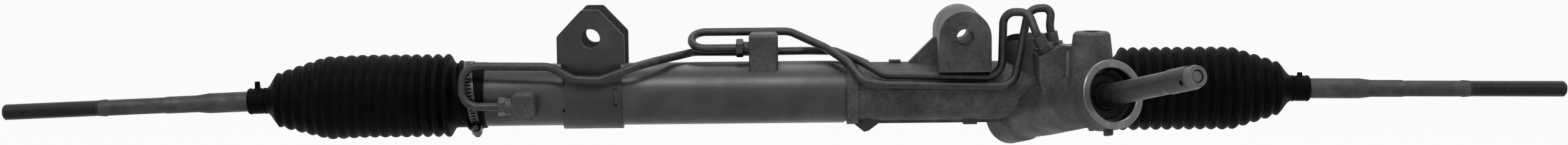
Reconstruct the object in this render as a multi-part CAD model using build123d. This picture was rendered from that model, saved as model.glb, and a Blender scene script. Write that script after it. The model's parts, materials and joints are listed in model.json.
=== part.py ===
from build123d import *

import os
from math import acos, asin, cos, hypot, pi, radians, sin, sqrt, tan

# Power steering rack. Millimetres.
# Working frame: the rack slides along X, the input shaft points towards -Y, Z is up, and the origin
# is on the rack axis midway between the two inner ball joints. Each sub-part is moved at export so
# that the origin is the middle of the gear-end mounting bore, with its axis along Y.

# ---------------------------------------------------------------- driving dimensions
running_gap = 0.04       # radial clearance of a sliding or turning fit
seat_gap = 0.05          # radial clearance where a piece is pressed or screwed home
clear_gap = 0.4          # space between pieces that never touch

# Rack bar and its travel
rack_radius = 13.5
ball_from_centre = 362.0     # rack centre to the centre of either inner ball joint
travel = 65.0                # rack travel each way from the middle

# Rack and pinion teeth
module_size = 2.0
pinion_teeth = 8
pressure_angle = 20.0
profile_shift = 0.5          # in modules, towards the pinion's tip
rack_addendum = 0.9          # in modules
rack_dedendum = 1.02
pinion_addendum = 0.8
tooth_backlash = 0.12
centre_distance = 19.6       # rack axis to pinion axis
pinion_face = 30.0
toothed_spare = 22.0         # toothed length beyond the travel, at each end

# Pinion axis: where it crosses under the rack, how far it turns from square and how far it rises
mesh_x = 214.5
pinion_plan_angle = 26.0
pinion_rise_angle = 12.5

# Gear housing casting
barrel_radius = 25.5
barrel_bore_radius = 19.0
flange_x = 54.0
flange_radius = 28.5
flange_length = 9.5
housing_end = 279.0          # both ends, from the rack centre
spigot_length = 32.0
far_lobe_radius = 23.5
far_lobe_depth = 41.0        # mesh point to the far end of the pinion housing
far_lobe_length = 27.0
tower_waist_radius = 21.7    # where the far lobe meets the tower
tower_radius = 22.7
nose_length = 129.0          # mesh point to the face of the input ring
ring_radius = 29.0
ring_length = 10.0
ring_edge = 0.8              # chamfer of the machined ring
collar_radius = 28.2
collar_length = 13.0
mouth_radius = 22.4
mouth_depth = 18.0
bearing_seat_radius = 18.0
bearing_seat_depth = 14.0    # below the mouth
valve_bore_radius = 17.0
pinion_chamber_gap = 1.8     # around the pinion's teeth
ring_lug_width = 5.0
ring_lug_length = 7.0
ring_lug_height = 4.2
parting_height = 0.9         # of the ribs along the casting's sides
parting_width = 2.6
parting_level = 2.6          # above the rack axis
belly_rib_height = 2.4

# Gear-end mounting boss
gear_bore_x = 154.0
bore_height = 50.0           # mounting bores above the rack axis
gear_bore_radius = 7.25
gear_boss_radius = 22.3
gear_boss_depth = 88.0
gear_boss_floor = 20.4       # underside of the overhanging boss, above the rack axis
gusset_length = 26.0
gusset_thickness = 9.0

# Yoke (rack guide), square to both the rack and the pinion axis
yoke_radius = 13.0
yoke_height = 26.0
yoke_boss_radius = 24.0
yoke_boss_height = 41.0
yoke_plug_radius = 14.6
yoke_plug_length = 11.0
yoke_nut_flats = 38.0
yoke_nut_height = 6.5
yoke_spring_radius = 7.5
yoke_spring_wire = 2.2
yoke_spring_coils = 4
yoke_spring_pocket = 9.0

# Hydraulic cylinder
tube_radius = 27.0
tube_wall = 3.0
nose_insert_length = 20.0    # casting nose that goes into the tube
tube_ring_length = 2.2
tube_ring_sink = 1.2         # of the ring below the tube's surface
end_bushing_length = 36.0
bulkhead_x = 8.0
bulkhead_length = 26.0
rack_seal_length = 8.0
rack_seal_depth = 4.5
end_ring_length = 3.0
piston_x = -118.0
piston_length = 14.0
piston_radius = 23.5
piston_ring_width = 5.0
piston_ring_depth = 3.0
clip_width = 1.6
clip_radius = 15.6
clip_groove_radius = 12.4

# Ports
vertical_port_setback = 34.0 # behind the ring's face, along the pinion axis
vertical_port_top = 58.0
vertical_port_radius = 15.4
vertical_port_foot = 21.5    # radius at the tower's axis
hose_port_radius = 7.0
hose_port_depth = 14.0
hose_port_throat = 3.5
port_block_left = 214.5
port_block_right = 250.0
port_block_bottom = 2.0
port_block_top = 44.0
port_block_front = -60.0
port_block_back = -14.0
port_split = -37.5           # Y where the block steps down from the front port to the rear one
port_rib_x = 238.6
port_rib_width = 2.5
port_rib_height = 1.6
valve_ports = (              # X, Y, Z of the seat and its lean back from vertical, front then rear
    (222.0, -47.0, 37.6, 27.0),
    (231.5, -27.0, 38.0, 12.0),
)
line_thread_radius = 5.6
line_thread_depth = 9.0

# Tube-side port fittings
left_boss_inset = 57.0       # from the tube's end
left_boss_length = 21.0
left_boss_height = 24.0
left_boss_front = 45.0       # front face, from the rack axis
left_boss_drop = 6.0
left_boss_corner = 5.5
left_neck_length = 5.0
left_neck_radius = 7.4
block_x = -17.5
block_length = 25.0
block_depth = 36.0
block_top = 51.7
block_port_height = 38.9
block_neck_length = 5.0
block_neck_radius = 5.5

# Transfer lines and their nuts
line_radius = 3.5
largest_bend = 14.0
line_turn_inset = 3.8        # the left line turns back this far from the tube's end
nut_flats = 14.0
nut_length = 6.2
nut_collar_radius = 5.4
nut_collar_length = 9.0

# Tube-side mounting bracket
bracket_x = -165.0
bracket_width = 57.5
bracket_sheet = 4.0
bracket_spread = 61.0        # outside to outside of the two ears
bracket_front_floor = 29.6   # the front ear stops above the transfer line
bracket_back_floor = 23.0
bracket_shoulder = 53.0      # where the ear's sides start to slope in
bracket_top = 75.5
bracket_crown_width = 15.0
bracket_hole_radius = 8.2
saddle_width = 51.0
saddle_sheet = 3.0
saddle_turn_height = 13.0    # where the saddle leaves the tube
saddle_slot_width = 3.6
saddle_slots = (             # X from the bracket's middle, Z of the slot's middle, height
    (-24.6, 1.7, 28.0),
    (20.3, 0.0, 15.5),
)

# Inner ball joints
ball_radius = 11.5
ball_seat_wall = 1.4
socket_radius = 16.0
socket_back = 16.0           # ball centre to the face that meets the rack
socket_mouth = 8.2           # ball centre to the mouth
socket_flats = 28.0
socket_flat_length = 9.0
socket_stud_radius = 8.0
socket_stud_length = 18.0
cup_angle = 60.0             # of the cup behind the ball, from the joint's axis
seat_ring_from = 55.0        # of the ring in front of the ball
seat_ring_to = 84.0

# Tie rods, from the ball centre outwards
rod_neck_radius = 5.8
rod_neck_end = 13.0
rod_flare_end = 25.0
rod_thick_radius = 8.7
rod_thick_end = 137.0
rod_taper_end = 147.0
rod_thin_radius = 7.4
rod_thread_start = 232.0
rod_thread_radius = 7.0
rod_length = 316.3
rod_end_chamfer = 2.0
rod_flats_from = 176.0
rod_flats_to = 224.0
rod_flats = 13.2
left_droop = 2.0             # degrees below the rack axis at rest
right_droop = 0.7

# Bellows and their clamps
boot_wall = 1.8
boot_neck_length = 25.0
boot_shoulder = 4.0
boot_radius = 36.2
boot_pleat_depth = 3.2
boot_crests = {-1: 9, 1: 8}
boot_first_crest = {-1: -71.4, 1: -69.0}     # outboard of the ball centre, per side
boot_last_crest = {-1: 77.0, 1: 66.0}
boot_taper_from = {-1: 33.0, 1: 25.0}
boot_last_radius = {-1: 23.6, 1: 23.4}
boot_end_distance = {-1: 102.3, 1: 93.0}
boot_small_wall = 2.3
boot_small_length = 16.0
clamp_width = 9.0
clamp_band = 0.9
clamp_inset = 5.0
clamp_screw_radius = 4.0
clamp_screw_length = 17.0
small_clamp_width = 8.0
small_clamp_band = 0.8
small_clamp_ear = {-1: 6.0, 1: 2.8}
small_clamp_ear_width = 3.2

# Pinion, rotary valve and input shaft, along the pinion axis from the mesh point
pinion_tail_radius = 7.0
lower_bearing_length = 9.0
lower_cap_length = 9.0
lower_cap_radius = 15.0
pinion_journal_radius = 10.8
upper_bush_gap = 6.0         # between the pinion's teeth and its upper bush
upper_bush_length = 12.0
valve_above_bush = 9.0
valve_below_bearing = 5.0
valve_ring_count = 4
valve_ring_width = 2.0
valve_ring_depth = 1.6
valve_port_radius = 1.5
input_bearing_length = 12.0
input_seal_length = 6.0
input_radius = 9.3
input_end_radius = 9.9
input_end_length = 36.0
input_length = 118.0         # beyond the ring face
input_step_radius = 8.6
input_flat = 7.6             # height of the locating flat above the shaft's axis
input_flat_length = 8.0
input_flat_inset = 3.0       # shaft end to the flat
input_bore_radius = 5.3
cross_pin_radius = 2.2
cross_pin_inset = 10.5
cross_pin_turn = 27.0        # about the shaft's axis
torsion_bar_radius = 5.2
torsion_bar_waist = 2.9
torsion_bar_head = 40.0      # length of the thick end inside the input shaft
torsion_bar_foot = 16.0      # and of the one in the pinion
torsion_bar_cone = 6.0
spool_radius = 11.0

# ---------------------------------------------------------------- derived places
boss_to_origin = Pos(-gear_bore_x, 0, -bore_height)
spigot_radius = tube_radius  # both ends carry the same bellows
rack_half = ball_from_centre - socket_back
tube_bore_radius = tube_radius - tube_wall
tube_end = flange_x - tube_ring_length
left_boss_x = -housing_end + left_boss_inset
left_turn_x = -housing_end + line_turn_inset

plan = radians(pinion_plan_angle)
rise = radians(pinion_rise_angle)
pinion_dir = Vector(sin(plan) * cos(rise), -cos(plan) * cos(rise), sin(rise))
across = hypot(pinion_dir.Y, pinion_dir.Z)
yoke_dir = Vector(0, pinion_dir.Z / across, -pinion_dir.Y / across)
slant = asin(pinion_dir.X)   # between the rack teeth and a square cut
mesh_point = Vector(mesh_x, 0, 0) - yoke_dir * centre_distance
pinion_plane = Plane(
    origin=mesh_point,
    x_dir=Vector(1, 0, 0) - pinion_dir * pinion_dir.X,
    z_dir=pinion_dir,
)
yoke_plane = Plane(origin=(mesh_x, 0, 0), x_dir=(1, 0, 0), z_dir=yoke_dir)

pitch_radius = module_size * pinion_teeth / 2
rack_datum = centre_distance - pitch_radius - profile_shift * module_size
rack_tip = rack_datum + rack_addendum * module_size
rack_root = rack_datum - rack_dedendum * module_size
tooth_pitch = pi * module_size
rack_pitch = tooth_pitch / cos(slant)
pinion_tip_radius = pitch_radius + (pinion_addendum + profile_shift) * module_size
pinion_root_radius = centre_distance - rack_tip - 0.12 * module_size
pinion_chamber_radius = pinion_tip_radius + pinion_chamber_gap
upper_bush_from = pinion_face / 2 + upper_bush_gap
upper_bush_to = upper_bush_from + upper_bush_length
input_bearing_from = nose_length - mouth_depth - bearing_seat_depth
valve_from = upper_bush_to + valve_above_bush
valve_to = input_bearing_from - valve_below_bearing
vertical_port_axis = nose_length - vertical_port_setback
boot_small_radius = rod_thick_radius + seat_gap + boot_small_wall


# ---------------------------------------------------------------- shape helpers
def turned_x(points):
    """A solid turned about X from a closed outline of (along X, radius) points."""
    return revolve(make_face(Polyline(*[(a, r, 0) for a, r in points], close=True)), Axis.X)


def turned_z(points):
    """A solid turned about Z from a closed outline of (along Z, radius) points."""
    return revolve(make_face(Polyline(*[(r, 0, a) for a, r in points], close=True)), Axis.Z)


def rod_x(radius, start, end):
    """A cylinder along X between two stations."""
    return Pos((start + end) / 2, 0, 0) * Rot(0, 90, 0) * Cylinder(radius, abs(end - start))


def tube_x(outer, inner, start, end):
    """A plain ring along X between two stations."""
    return rod_x(outer, start, end) - rod_x(inner, start - 1, end + 1)


def rod_z(radius, start, end):
    """A cylinder along Z between two stations."""
    return Pos(0, 0, (start + end) / 2) * Cylinder(radius, end - start)


def tube_z(outer, inner, start, end):
    """A plain ring along Z between two stations."""
    return rod_z(outer, start, end) - rod_z(inner, start - 1, end + 1)


def hexagon_bar(flats, start, end):
    """A hexagonal bar along Z between two stations."""
    face = RegularPolygon(flats / sqrt(3), 6)
    return Pos(0, 0, start) * extrude(face, end - start)


def box_between(low, high):
    """A box from its lowest to its highest corner."""
    size = [h - l for l, h in zip(low, high)]
    middle = [(h + l) / 2 for l, h in zip(low, high)]
    return Pos(*middle) * Box(*size)


def on_pinion(part):
    """Places a part built along Z onto the pinion axis, with Z = 0 at the mesh point."""
    return pinion_plane.location * part


def on_yoke(part):
    """Places a part built along Z onto the yoke axis, with Z = 0 on the rack axis."""
    return yoke_plane.location * part


# ---------------------------------------------------------------- rack and pinion
def tooth_space(height_low, height_high):
    """One space between rack teeth, drawn across the pinion axis, as deep as the two heights."""
    spread = tan(radians(pressure_angle))
    half_datum = (tooth_pitch / 2 + tooth_backlash) / 2

    def half(height):
        return half_datum + (height - rack_datum) * spread

    low = centre_distance - height_low
    high = centre_distance - height_high
    return make_face(
        Polyline(
            (-half(height_low), low),
            (half(height_low), low),
            (half(height_high), high),
            (-half(height_high), high),
            close=True,
        )
    )


def rack_bar():
    """Round bar with slanted teeth underneath, bored at both ends for the ball sockets."""
    bar = rod_x(rack_radius, -rack_half, rack_half)
    bore = socket_stud_length + 1.0
    for side in (-1, 1):
        bar -= rod_x(socket_stud_radius + seat_gap, side * (rack_half - bore), side * (rack_half + 1))
    for station in clip_stations():
        bar -= tube_x(rack_radius + 1, clip_groove_radius, station, station + clip_width)
    reach = travel + toothed_spare
    flat = box_between(
        (-reach, -rack_radius, -rack_radius - 1),
        (reach, rack_radius, -rack_tip),
    )
    bar -= yoke_plane.location * flat
    space = extrude(
        tooth_space(rack_root, rack_radius + 1),
        1.4 * rack_radius,
        both=True,
    )
    count = int((reach - rack_radius) / rack_pitch)
    cutter = on_pinion(space)
    for index in range(-count, count + 1):
        bar -= Pos(index * rack_pitch, 0, 0) * cutter
    return bar


def involute_angle(radius, base_radius):
    """Polar angle that an involute has turned through when it reaches a radius."""
    pressure = acos(min(1.0, base_radius / radius))
    return tan(pressure) - pressure


def pinion_profile():
    """Spur pinion outline with shifted involute teeth, one of them pointing along +Y."""
    base_radius = pitch_radius * cos(radians(pressure_angle))
    half_tooth = (pi / 2 + 2 * profile_shift * tan(radians(pressure_angle))) / pinion_teeth
    half_at_base = half_tooth + involute_angle(pitch_radius, base_radius)
    start_radius = max(base_radius, pinion_root_radius + 0.1)
    flank_points = 6
    outline = Circle(pinion_root_radius)
    for tooth in range(pinion_teeth):
        middle = pi / 2 + tooth * 2 * pi / pinion_teeth
        flanks = []
        for side in (-1, 1):
            points = []
            for step in range(flank_points):
                radius = start_radius + (pinion_tip_radius - start_radius) * step / (flank_points - 1)
                turn = middle + side * (half_at_base - involute_angle(radius, base_radius))
                points.append((radius * cos(turn), radius * sin(turn)))
            flanks.append(points)
        heel = [
            (0.8 * pinion_root_radius * cos(middle + side * half_at_base),
             0.8 * pinion_root_radius * sin(middle + side * half_at_base))
            for side in (-1, 1)
        ]
        edges = [
            Line(heel[0], flanks[0][0]),
            Spline(*flanks[0]),
            Line(flanks[0][-1], flanks[1][-1]),
            Spline(*flanks[1][::-1]),
            Line(flanks[1][0], heel[1]),
            Line(heel[1], heel[0]),
        ]
        outline += make_face(edges)
    return outline


def pinion():
    """Pinion with its lower journal and the head that carries the valve sleeve."""
    face_half = pinion_face / 2
    gear = Pos(0, 0, -face_half) * extrude(pinion_profile(), pinion_face)
    tail_end = -face_half - 2 - lower_bearing_length
    tail = rod_z(pinion_tail_radius, tail_end, -face_half + 1)
    head = rod_z(pinion_journal_radius - 1.6, face_half - 1, upper_bush_from)
    head += rod_z(pinion_journal_radius, upper_bush_from, valve_from)
    body = gear + tail + head
    bore_bottom = face_half - 4
    body -= rod_z(torsion_bar_radius + seat_gap, bore_bottom, valve_from)
    return on_pinion(body)


def valve_sleeve():
    """Valve sleeve around the input spool, grooved outside for its seal rings."""
    sleeve = rod_z(valve_bore_radius - 0.08, valve_from, valve_to)
    sleeve -= rod_z(spool_radius + running_gap, valve_from + 4, valve_to + 1)
    sleeve -= rod_z(torsion_bar_radius + 1, valve_from - 1, valve_from + 5)
    for low in valve_ring_stations():
        groove = tube_z(
            valve_bore_radius + 1,
            valve_bore_radius - valve_ring_depth,
            low - seat_gap,
            low + valve_ring_width + seat_gap,
        )
        sleeve -= groove
    stations = valve_ring_stations()
    for low, high in zip(stations, stations[1:]):
        middle = (low + high + valve_ring_width) / 2
        channel = tube_z(valve_bore_radius + 1, valve_bore_radius - 1.2, middle - 2.4, middle + 2.4)
        sleeve -= channel
        drilling = Cylinder(valve_port_radius, 3 * valve_bore_radius)
        sleeve -= Pos(0, 0, middle) * Rot(0, 90, 45) * drilling
    return on_pinion(sleeve)


def valve_ring_stations():
    """Lower edge of each valve seal ring."""
    margin = 3.5
    step = (valve_to - valve_from - 2 * margin - valve_ring_width) / (valve_ring_count - 1)
    return [valve_from + margin + index * step for index in range(valve_ring_count)]


def valve_rings():
    """The valve sleeve's seal rings, which run in the valve bore."""
    rings = [
        tube_z(
            valve_bore_radius - 0.03,
            valve_bore_radius - valve_ring_depth + 0.02,
            low,
            low + valve_ring_width,
        )
        for low in valve_ring_stations()
    ]
    return on_pinion(Compound(children=rings))


def input_shaft():
    """Input shaft: valve spool inside, long neck through the seal and a notched end outside."""
    tip = nose_length + input_length
    end_from = tip - input_end_length
    points = [
        (valve_from + 5, 0),
        (valve_from + 5, spool_radius),
        (valve_to + 2, spool_radius),
        (valve_to + 4, input_radius),
        (end_from - 4, input_radius),
        (end_from, input_end_radius),
        (tip - 6, input_end_radius),
        (tip, input_step_radius),
        (tip, 0),
    ]
    shaft = turned_z(points)
    shaft -= rod_z(input_bore_radius, valve_from, tip + 1)
    for low_turn in range(4):
        slot = Rot(0, 0, 90 * low_turn) * Pos(spool_radius, 0, (valve_from + valve_to) / 2)
        shaft -= slot * Box(2.4, 3.6, valve_to - valve_from - 18)
    notch = box_between(
        (-input_end_radius, input_flat, tip - input_flat_inset - input_flat_length),
        (input_end_radius, input_end_radius + 1, tip - input_flat_inset),
    )
    shaft -= notch
    shaft -= cross_pin_hole()
    return on_pinion(shaft)


def across_input(radius, length):
    """A cylinder square through the input shaft's end, along the cross pin's axis."""
    station = nose_length + input_length - cross_pin_inset
    return Pos(0, 0, station) * Rot(0, 0, cross_pin_turn) * Rot(0, 90, 0) * Cylinder(radius, length)


def cross_pin_hole():
    """Hole for the pin that locks the torsion bar in the input shaft."""
    return across_input(cross_pin_radius + 0.02, 4 * input_radius)


def cross_pin():
    """Pin through the input shaft and the torsion bar."""
    return on_pinion(across_input(cross_pin_radius, 2 * input_end_radius - 3))


def torsion_bar():
    """Torsion bar: thin along the valve, thick where it is pinned and where it seats in the pinion."""
    tip = nose_length + input_length - 1.0
    bottom = pinion_face / 2 - 3
    points = [
        (bottom, 0),
        (bottom, torsion_bar_radius),
        (bottom + torsion_bar_foot, torsion_bar_radius),
        (bottom + torsion_bar_foot + torsion_bar_cone, torsion_bar_waist),
        (tip - torsion_bar_head - torsion_bar_cone, torsion_bar_waist),
        (tip - torsion_bar_head, torsion_bar_radius),
        (tip - 1, torsion_bar_radius),
        (tip, torsion_bar_radius - 1),
        (tip, 0),
    ]
    return on_pinion(turned_z(points) - cross_pin_hole())


# ---------------------------------------------------------------- gear housing
def housing_outside():
    """Outer form of the casting, before its bores."""
    barrel = rod_x(barrel_radius, flange_x, housing_end - 1)
    barrel += rod_x(tube_bore_radius - seat_gap, flange_x - nose_insert_length, flange_x + 1)
    barrel += rod_x(flange_radius, flange_x, flange_x + flange_length)
    barrel += rod_x(spigot_radius, housing_end - spigot_length, housing_end)
    tower = on_pinion(tower_outside())
    boss = on_yoke(rod_z(yoke_boss_radius, 0, yoke_boss_height))
    outside = barrel + tower + boss + gear_boss() + port_block() + vertical_port()
    outside += gusset() + flange_lug() + parting_rib()
    return outside


def tower_outside():
    """Pinion housing along its own axis: far lobe, tower, collar and machined input ring."""
    ring_back = nose_length - ring_length
    collar_back = ring_back - collar_length
    flare = 4.0
    points = [
        (-far_lobe_depth, 0),
        (-far_lobe_depth, far_lobe_radius - 2),
        (-far_lobe_depth + 2, far_lobe_radius),
        (far_lobe_length - far_lobe_depth, far_lobe_radius),
        (far_lobe_length - far_lobe_depth + 8, tower_waist_radius),
        (pinion_face / 2 + 8, tower_radius),
        (collar_back - flare, tower_radius),
        (collar_back, collar_radius),
        (ring_back, collar_radius),
        (ring_back, ring_radius),
        (nose_length - ring_edge, ring_radius),
        (nose_length, ring_radius - ring_edge),
        (nose_length, 0),
    ]
    tower = turned_z(points)
    lug = box_between(
        (-ring_lug_width / 2, -ring_radius - ring_lug_height, ring_back - ring_lug_length / 2),
        (ring_lug_width / 2, -tower_radius, ring_back + ring_lug_length / 2),
    )
    lug = fillet(lug.edges().filter_by(Axis.Z), ring_lug_width * 0.3)
    return tower + lug


def gear_boss():
    """Mounting boss: an arch across the barrel that overhangs it front and back."""
    half = gear_boss_depth / 2
    arch = Pos(gear_bore_x, 0, bore_height) * Rot(90, 0, 0) * Cylinder(gear_boss_radius, gear_boss_depth)
    arch += box_between(
        (gear_bore_x - gear_boss_radius, -half, gear_boss_floor),
        (gear_bore_x + gear_boss_radius, half, bore_height),
    )
    web_side = Polyline(
        (0, -barrel_radius - clear_gap, 0),
        (0, -barrel_radius - clear_gap, gear_boss_floor + 1),
        (0, half - 1, gear_boss_floor + 1),
        (0, barrel_radius - 2, -barrel_radius / 2),
        (0, 0, -barrel_radius / 2),
        close=True,
    )
    web = extrude(make_face(web_side), gear_boss_radius - 3, dir=(1, 0, 0), both=True)
    return arch + Pos(gear_bore_x, 0, 0) * web


def gusset():
    """Rib that ties the boss to the barrel on the cylinder side."""
    foot = gear_bore_x - gear_boss_radius
    outline = Polyline(
        (foot - gusset_length, 0, barrel_radius - 2),
        (foot - 2, 0, bore_height - 3),
        (foot + 4, 0, bore_height - 3),
        (foot + 4, 0, barrel_radius - 2),
        close=True,
    )
    return extrude(make_face(outline), gusset_thickness / 2, dir=(0, 1, 0), both=True)


def flange_lug():
    """Pointed lug under the flange."""
    length = 12.0
    thickness = 9.0
    outline = Polyline(
        (flange_x + 4, 0, -barrel_radius + 3),
        (flange_x + 7, 0, -flange_radius),
        (flange_x + 15, 0, -flange_radius - 6.5),
        (flange_x + 19, 0, -flange_radius - 5.5),
        (flange_x + 19 + length, 0, -barrel_radius + 0.5),
        (flange_x + 19 + length, 0, -barrel_radius + 3),
        close=True,
    )
    return extrude(make_face(outline), thickness / 2, dir=(0, 1, 0), both=True)


def parting_rib():
    """Parting ribs along the casting's sides, a belly rib with its pad, and two pads on top."""
    start = flange_x + flange_length
    end = mesh_x - far_lobe_radius
    ribs = box_between(
        (start, -barrel_radius - parting_height, parting_level - parting_width / 2),
        (end, barrel_radius + parting_height, parting_level + parting_width / 2),
    )
    ribs += box_between((start, -2.0, -barrel_radius - belly_rib_height), (end, 2.0, -barrel_radius + 3))
    ribs += box_between(
        (gear_bore_x + 1, -4.0, -barrel_radius - belly_rib_height - 1.4),
        (gear_bore_x + 13, 4.0, -barrel_radius + 3),
    )
    for pad_start, length in ((flange_x + 12, 7.0), (flange_x + 37, 10.0)):
        ribs += box_between(
            (pad_start, -5.0, barrel_radius - 3),
            (pad_start + length, 5.0, barrel_radius + 1.8),
        )
    return ribs


def port_block():
    """Block on the side of the tower: one step of its leaning top for each of the two line nuts."""
    steps = []
    for (seat_x, _, seat_z, lean), front, back in (
        (valve_ports[0], port_block_front, port_split),
        (valve_ports[1], port_split, port_block_back),
    ):
        slope = tan(radians(lean))
        peak_x = min(seat_x + (port_block_top - seat_z) / slope, port_block_right - 2)
        outline = Polyline(
            (port_block_left + 4, back, port_block_bottom),
            (port_block_left, back, port_block_bottom + 16),
            (port_block_left, back, seat_z + (port_block_left - seat_x) * slope),
            (peak_x, back, seat_z + (peak_x - seat_x) * slope),
            (port_block_right, back, seat_z + (peak_x - seat_x) * slope - 2),
            (port_block_right, back, port_block_bottom - 6),
            close=True,
        )
        steps.append(extrude(make_face(outline), back - front, dir=(0, -1, 0)))
    upright = [
        edge for edge in steps[0].edges().filter_by(Axis.Z)
        if edge.center().Y < port_block_front + 1 and edge.center().X < port_block_left + 1
    ]
    rib = box_between(
        (port_rib_x - port_rib_width / 2, port_block_front - port_rib_height, port_block_bottom + 1),
        (port_rib_x + port_rib_width / 2, port_block_front + 1, port_block_top - 5),
    )
    return fillet(upright, 2.5) + steps[1] + rib


def vertical_port():
    """Upright hose port boss on the tower, with moulding draft."""
    foot = mesh_point + pinion_dir * vertical_port_axis
    height = vertical_port_top - foot.Z
    points = [
        (0, 0),
        (0, vertical_port_foot),
        (height - 2, vertical_port_radius),
        (height, vertical_port_radius - 2),
        (height, 0),
    ]
    return Pos(foot.X, foot.Y, foot.Z) * turned_z(points)


def vertical_port_bore():
    """Hose port bore with its narrower drilling down to the valve."""
    foot = mesh_point + pinion_dir * vertical_port_axis
    bore = rod_z(hose_port_radius, vertical_port_top - hose_port_depth, vertical_port_top + 1)
    bore += rod_z(hose_port_throat, foot.Z + valve_bore_radius - 3, vertical_port_top - hose_port_depth + 1)
    return Pos(foot.X, foot.Y, 0) * bore


def valve_port_location(index):
    """Seat of a line nut on the port block: Z points out of the port."""
    x, y, z, lean = valve_ports[index]
    return Pos(x, y, z) * Rot(0, -lean, 0)


def gear_housing():
    """The gear housing casting with all its bores."""
    body = housing_outside()
    body -= rod_x(barrel_bore_radius, flange_x - nose_insert_length - 1, housing_end + 1)
    chamber = pinion_face / 2 + 5
    cavity = [
        (-far_lobe_depth - 1, 0),
        (-far_lobe_depth - 1, lower_cap_radius + seat_gap),
        (-far_lobe_depth + lower_cap_length, lower_cap_radius + seat_gap),
        (-far_lobe_depth + lower_cap_length, pinion_chamber_radius),
        (chamber, pinion_chamber_radius),
        (chamber, valve_bore_radius),
        (input_bearing_from, valve_bore_radius),
        (input_bearing_from, bearing_seat_radius),
        (nose_length - mouth_depth, bearing_seat_radius),
        (nose_length - mouth_depth, mouth_radius),
        (nose_length - 1, mouth_radius),
        (nose_length + 0.2, mouth_radius + 1.2),
        (nose_length + 0.2, 0),
    ]
    body -= on_pinion(turned_z(cavity))
    body -= on_yoke(rod_z(yoke_radius + running_gap, 0, yoke_boss_height - yoke_plug_length + 0.1))
    body -= on_yoke(rod_z(yoke_plug_radius + seat_gap, yoke_boss_height - yoke_plug_length, yoke_boss_height + 1))
    bore = Rot(90, 0, 0) * Cylinder(gear_bore_radius, gear_boss_depth + 2)
    body -= Pos(gear_bore_x, 0, bore_height) * bore
    body -= vertical_port_bore()
    for index in range(2):
        thread = rod_z(line_thread_radius, -line_thread_depth, 12)
        drilling = rod_z(2.2, -26, -line_thread_depth + 1)
        body -= valve_port_location(index) * (thread + drilling)
    return body


def lower_cap():
    """Screwed cap that closes the far end of the pinion housing."""
    start = -far_lobe_depth
    cap = rod_z(lower_cap_radius, start, start + lower_cap_length)
    cap += hexagon_bar(22.0, start - 4, start + 1)
    cap -= rod_z(9, start + 4, start + lower_cap_length + 1)
    return on_pinion(cap)


def lower_bearing():
    """Bearing of the pinion's tail."""
    start = -pinion_face / 2 - 2 - lower_bearing_length
    end = start + lower_bearing_length
    return on_pinion(tube_z(pinion_chamber_radius - 0.02, pinion_tail_radius + running_gap, start, end))


def upper_bush():
    """Bush between the pinion head and the housing, below the valve."""
    return on_pinion(
        tube_z(
            valve_bore_radius - 0.02,
            pinion_journal_radius + running_gap,
            upper_bush_from,
            upper_bush_to,
        )
    )


def input_bearing():
    """Outer and inner race of the input shaft's bearing, as one stepped ring."""
    start = input_bearing_from
    end = start + input_bearing_length
    ring = tube_z(bearing_seat_radius - 0.02, input_radius + running_gap, start, end)
    for low, high in ((start - 1, start + 1.2), (end - 1.2, end + 1)):
        ring -= tube_z(15.2, 12.2, low, high)
    return on_pinion(ring)


def input_seal():
    """Rubber seal in the mouth of the input ring."""
    start = nose_length - mouth_depth
    points = [
        (start, input_radius + running_gap + 0.1),
        (start, mouth_radius - 0.02),
        (start + input_seal_length, mouth_radius - 0.02),
        (start + input_seal_length, mouth_radius - 3),
        (start + input_seal_length - 1.6, mouth_radius - 4.5),
        (start + input_seal_length - 1.6, input_radius + 3.2),
        (start + input_seal_length + 1.4, input_radius + 1.6),
        (start + input_seal_length + 1.4, input_radius + running_gap + 0.1),
    ]
    return on_pinion(turned_z(points))


def input_snap_ring():
    """Open retaining ring above the seal."""
    start = nose_length - mouth_depth + input_seal_length
    ring = tube_z(mouth_radius - 0.02, mouth_radius - 2.6, start, start + 1.4)
    ring -= box_between((-4, 0, start - 1), (4, mouth_radius + 1, start + 3))
    return on_pinion(ring)


# ---------------------------------------------------------------- yoke
def yoke():
    """Rack guide with its cradle, and a pocket for the spring."""
    body = rod_z(yoke_radius, 3.0, yoke_height)
    body -= rod_x(rack_radius + running_gap, -2 * yoke_radius, 2 * yoke_radius)
    body -= rod_z(yoke_spring_radius + 1.2, yoke_height - yoke_spring_pocket, yoke_height + 1)
    body -= tube_z(yoke_radius + 1, yoke_radius - 1.2, yoke_height - 7, yoke_height - 4.6)
    return on_yoke(body)


def yoke_spring():
    """Stack of square-wire coils between the yoke and its plug."""
    low = yoke_height - yoke_spring_pocket
    high = yoke_boss_height - yoke_plug_length - yoke_spring_wire
    step = (high - low) / (yoke_spring_coils - 1)
    coils = [
        tube_z(yoke_spring_radius, yoke_spring_radius - yoke_spring_wire, start, start + yoke_spring_wire)
        for start in [low + index * step for index in range(yoke_spring_coils)]
    ]
    return on_yoke(Compound(children=coils))


def yoke_plug():
    """Screwed plug above the spring, with a hexagon socket."""
    low = yoke_boss_height - yoke_plug_length
    plug = rod_z(yoke_plug_radius, low, yoke_boss_height + yoke_nut_height)
    socket = hexagon_bar(14.0, yoke_boss_height - 3, yoke_boss_height + yoke_nut_height + 1)
    return on_yoke(plug - socket)


def yoke_lock_nut():
    """Thin hexagon nut that locks the plug."""
    low = yoke_boss_height
    nut = hexagon_bar(yoke_nut_flats, low, low + yoke_nut_height)
    nut &= turned_z(
        [
            (low, 0),
            (low, yoke_nut_flats / 2 + 3),
            (low + yoke_nut_height - 1.4, yoke_nut_flats / 2 + 3),
            (low + yoke_nut_height, yoke_nut_flats / 2 - 0.2),
            (low + yoke_nut_height, 0),
        ]
    )
    nut -= rod_z(yoke_plug_radius + seat_gap, low - 1, low + yoke_nut_height + 1)
    return on_yoke(nut)


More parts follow.
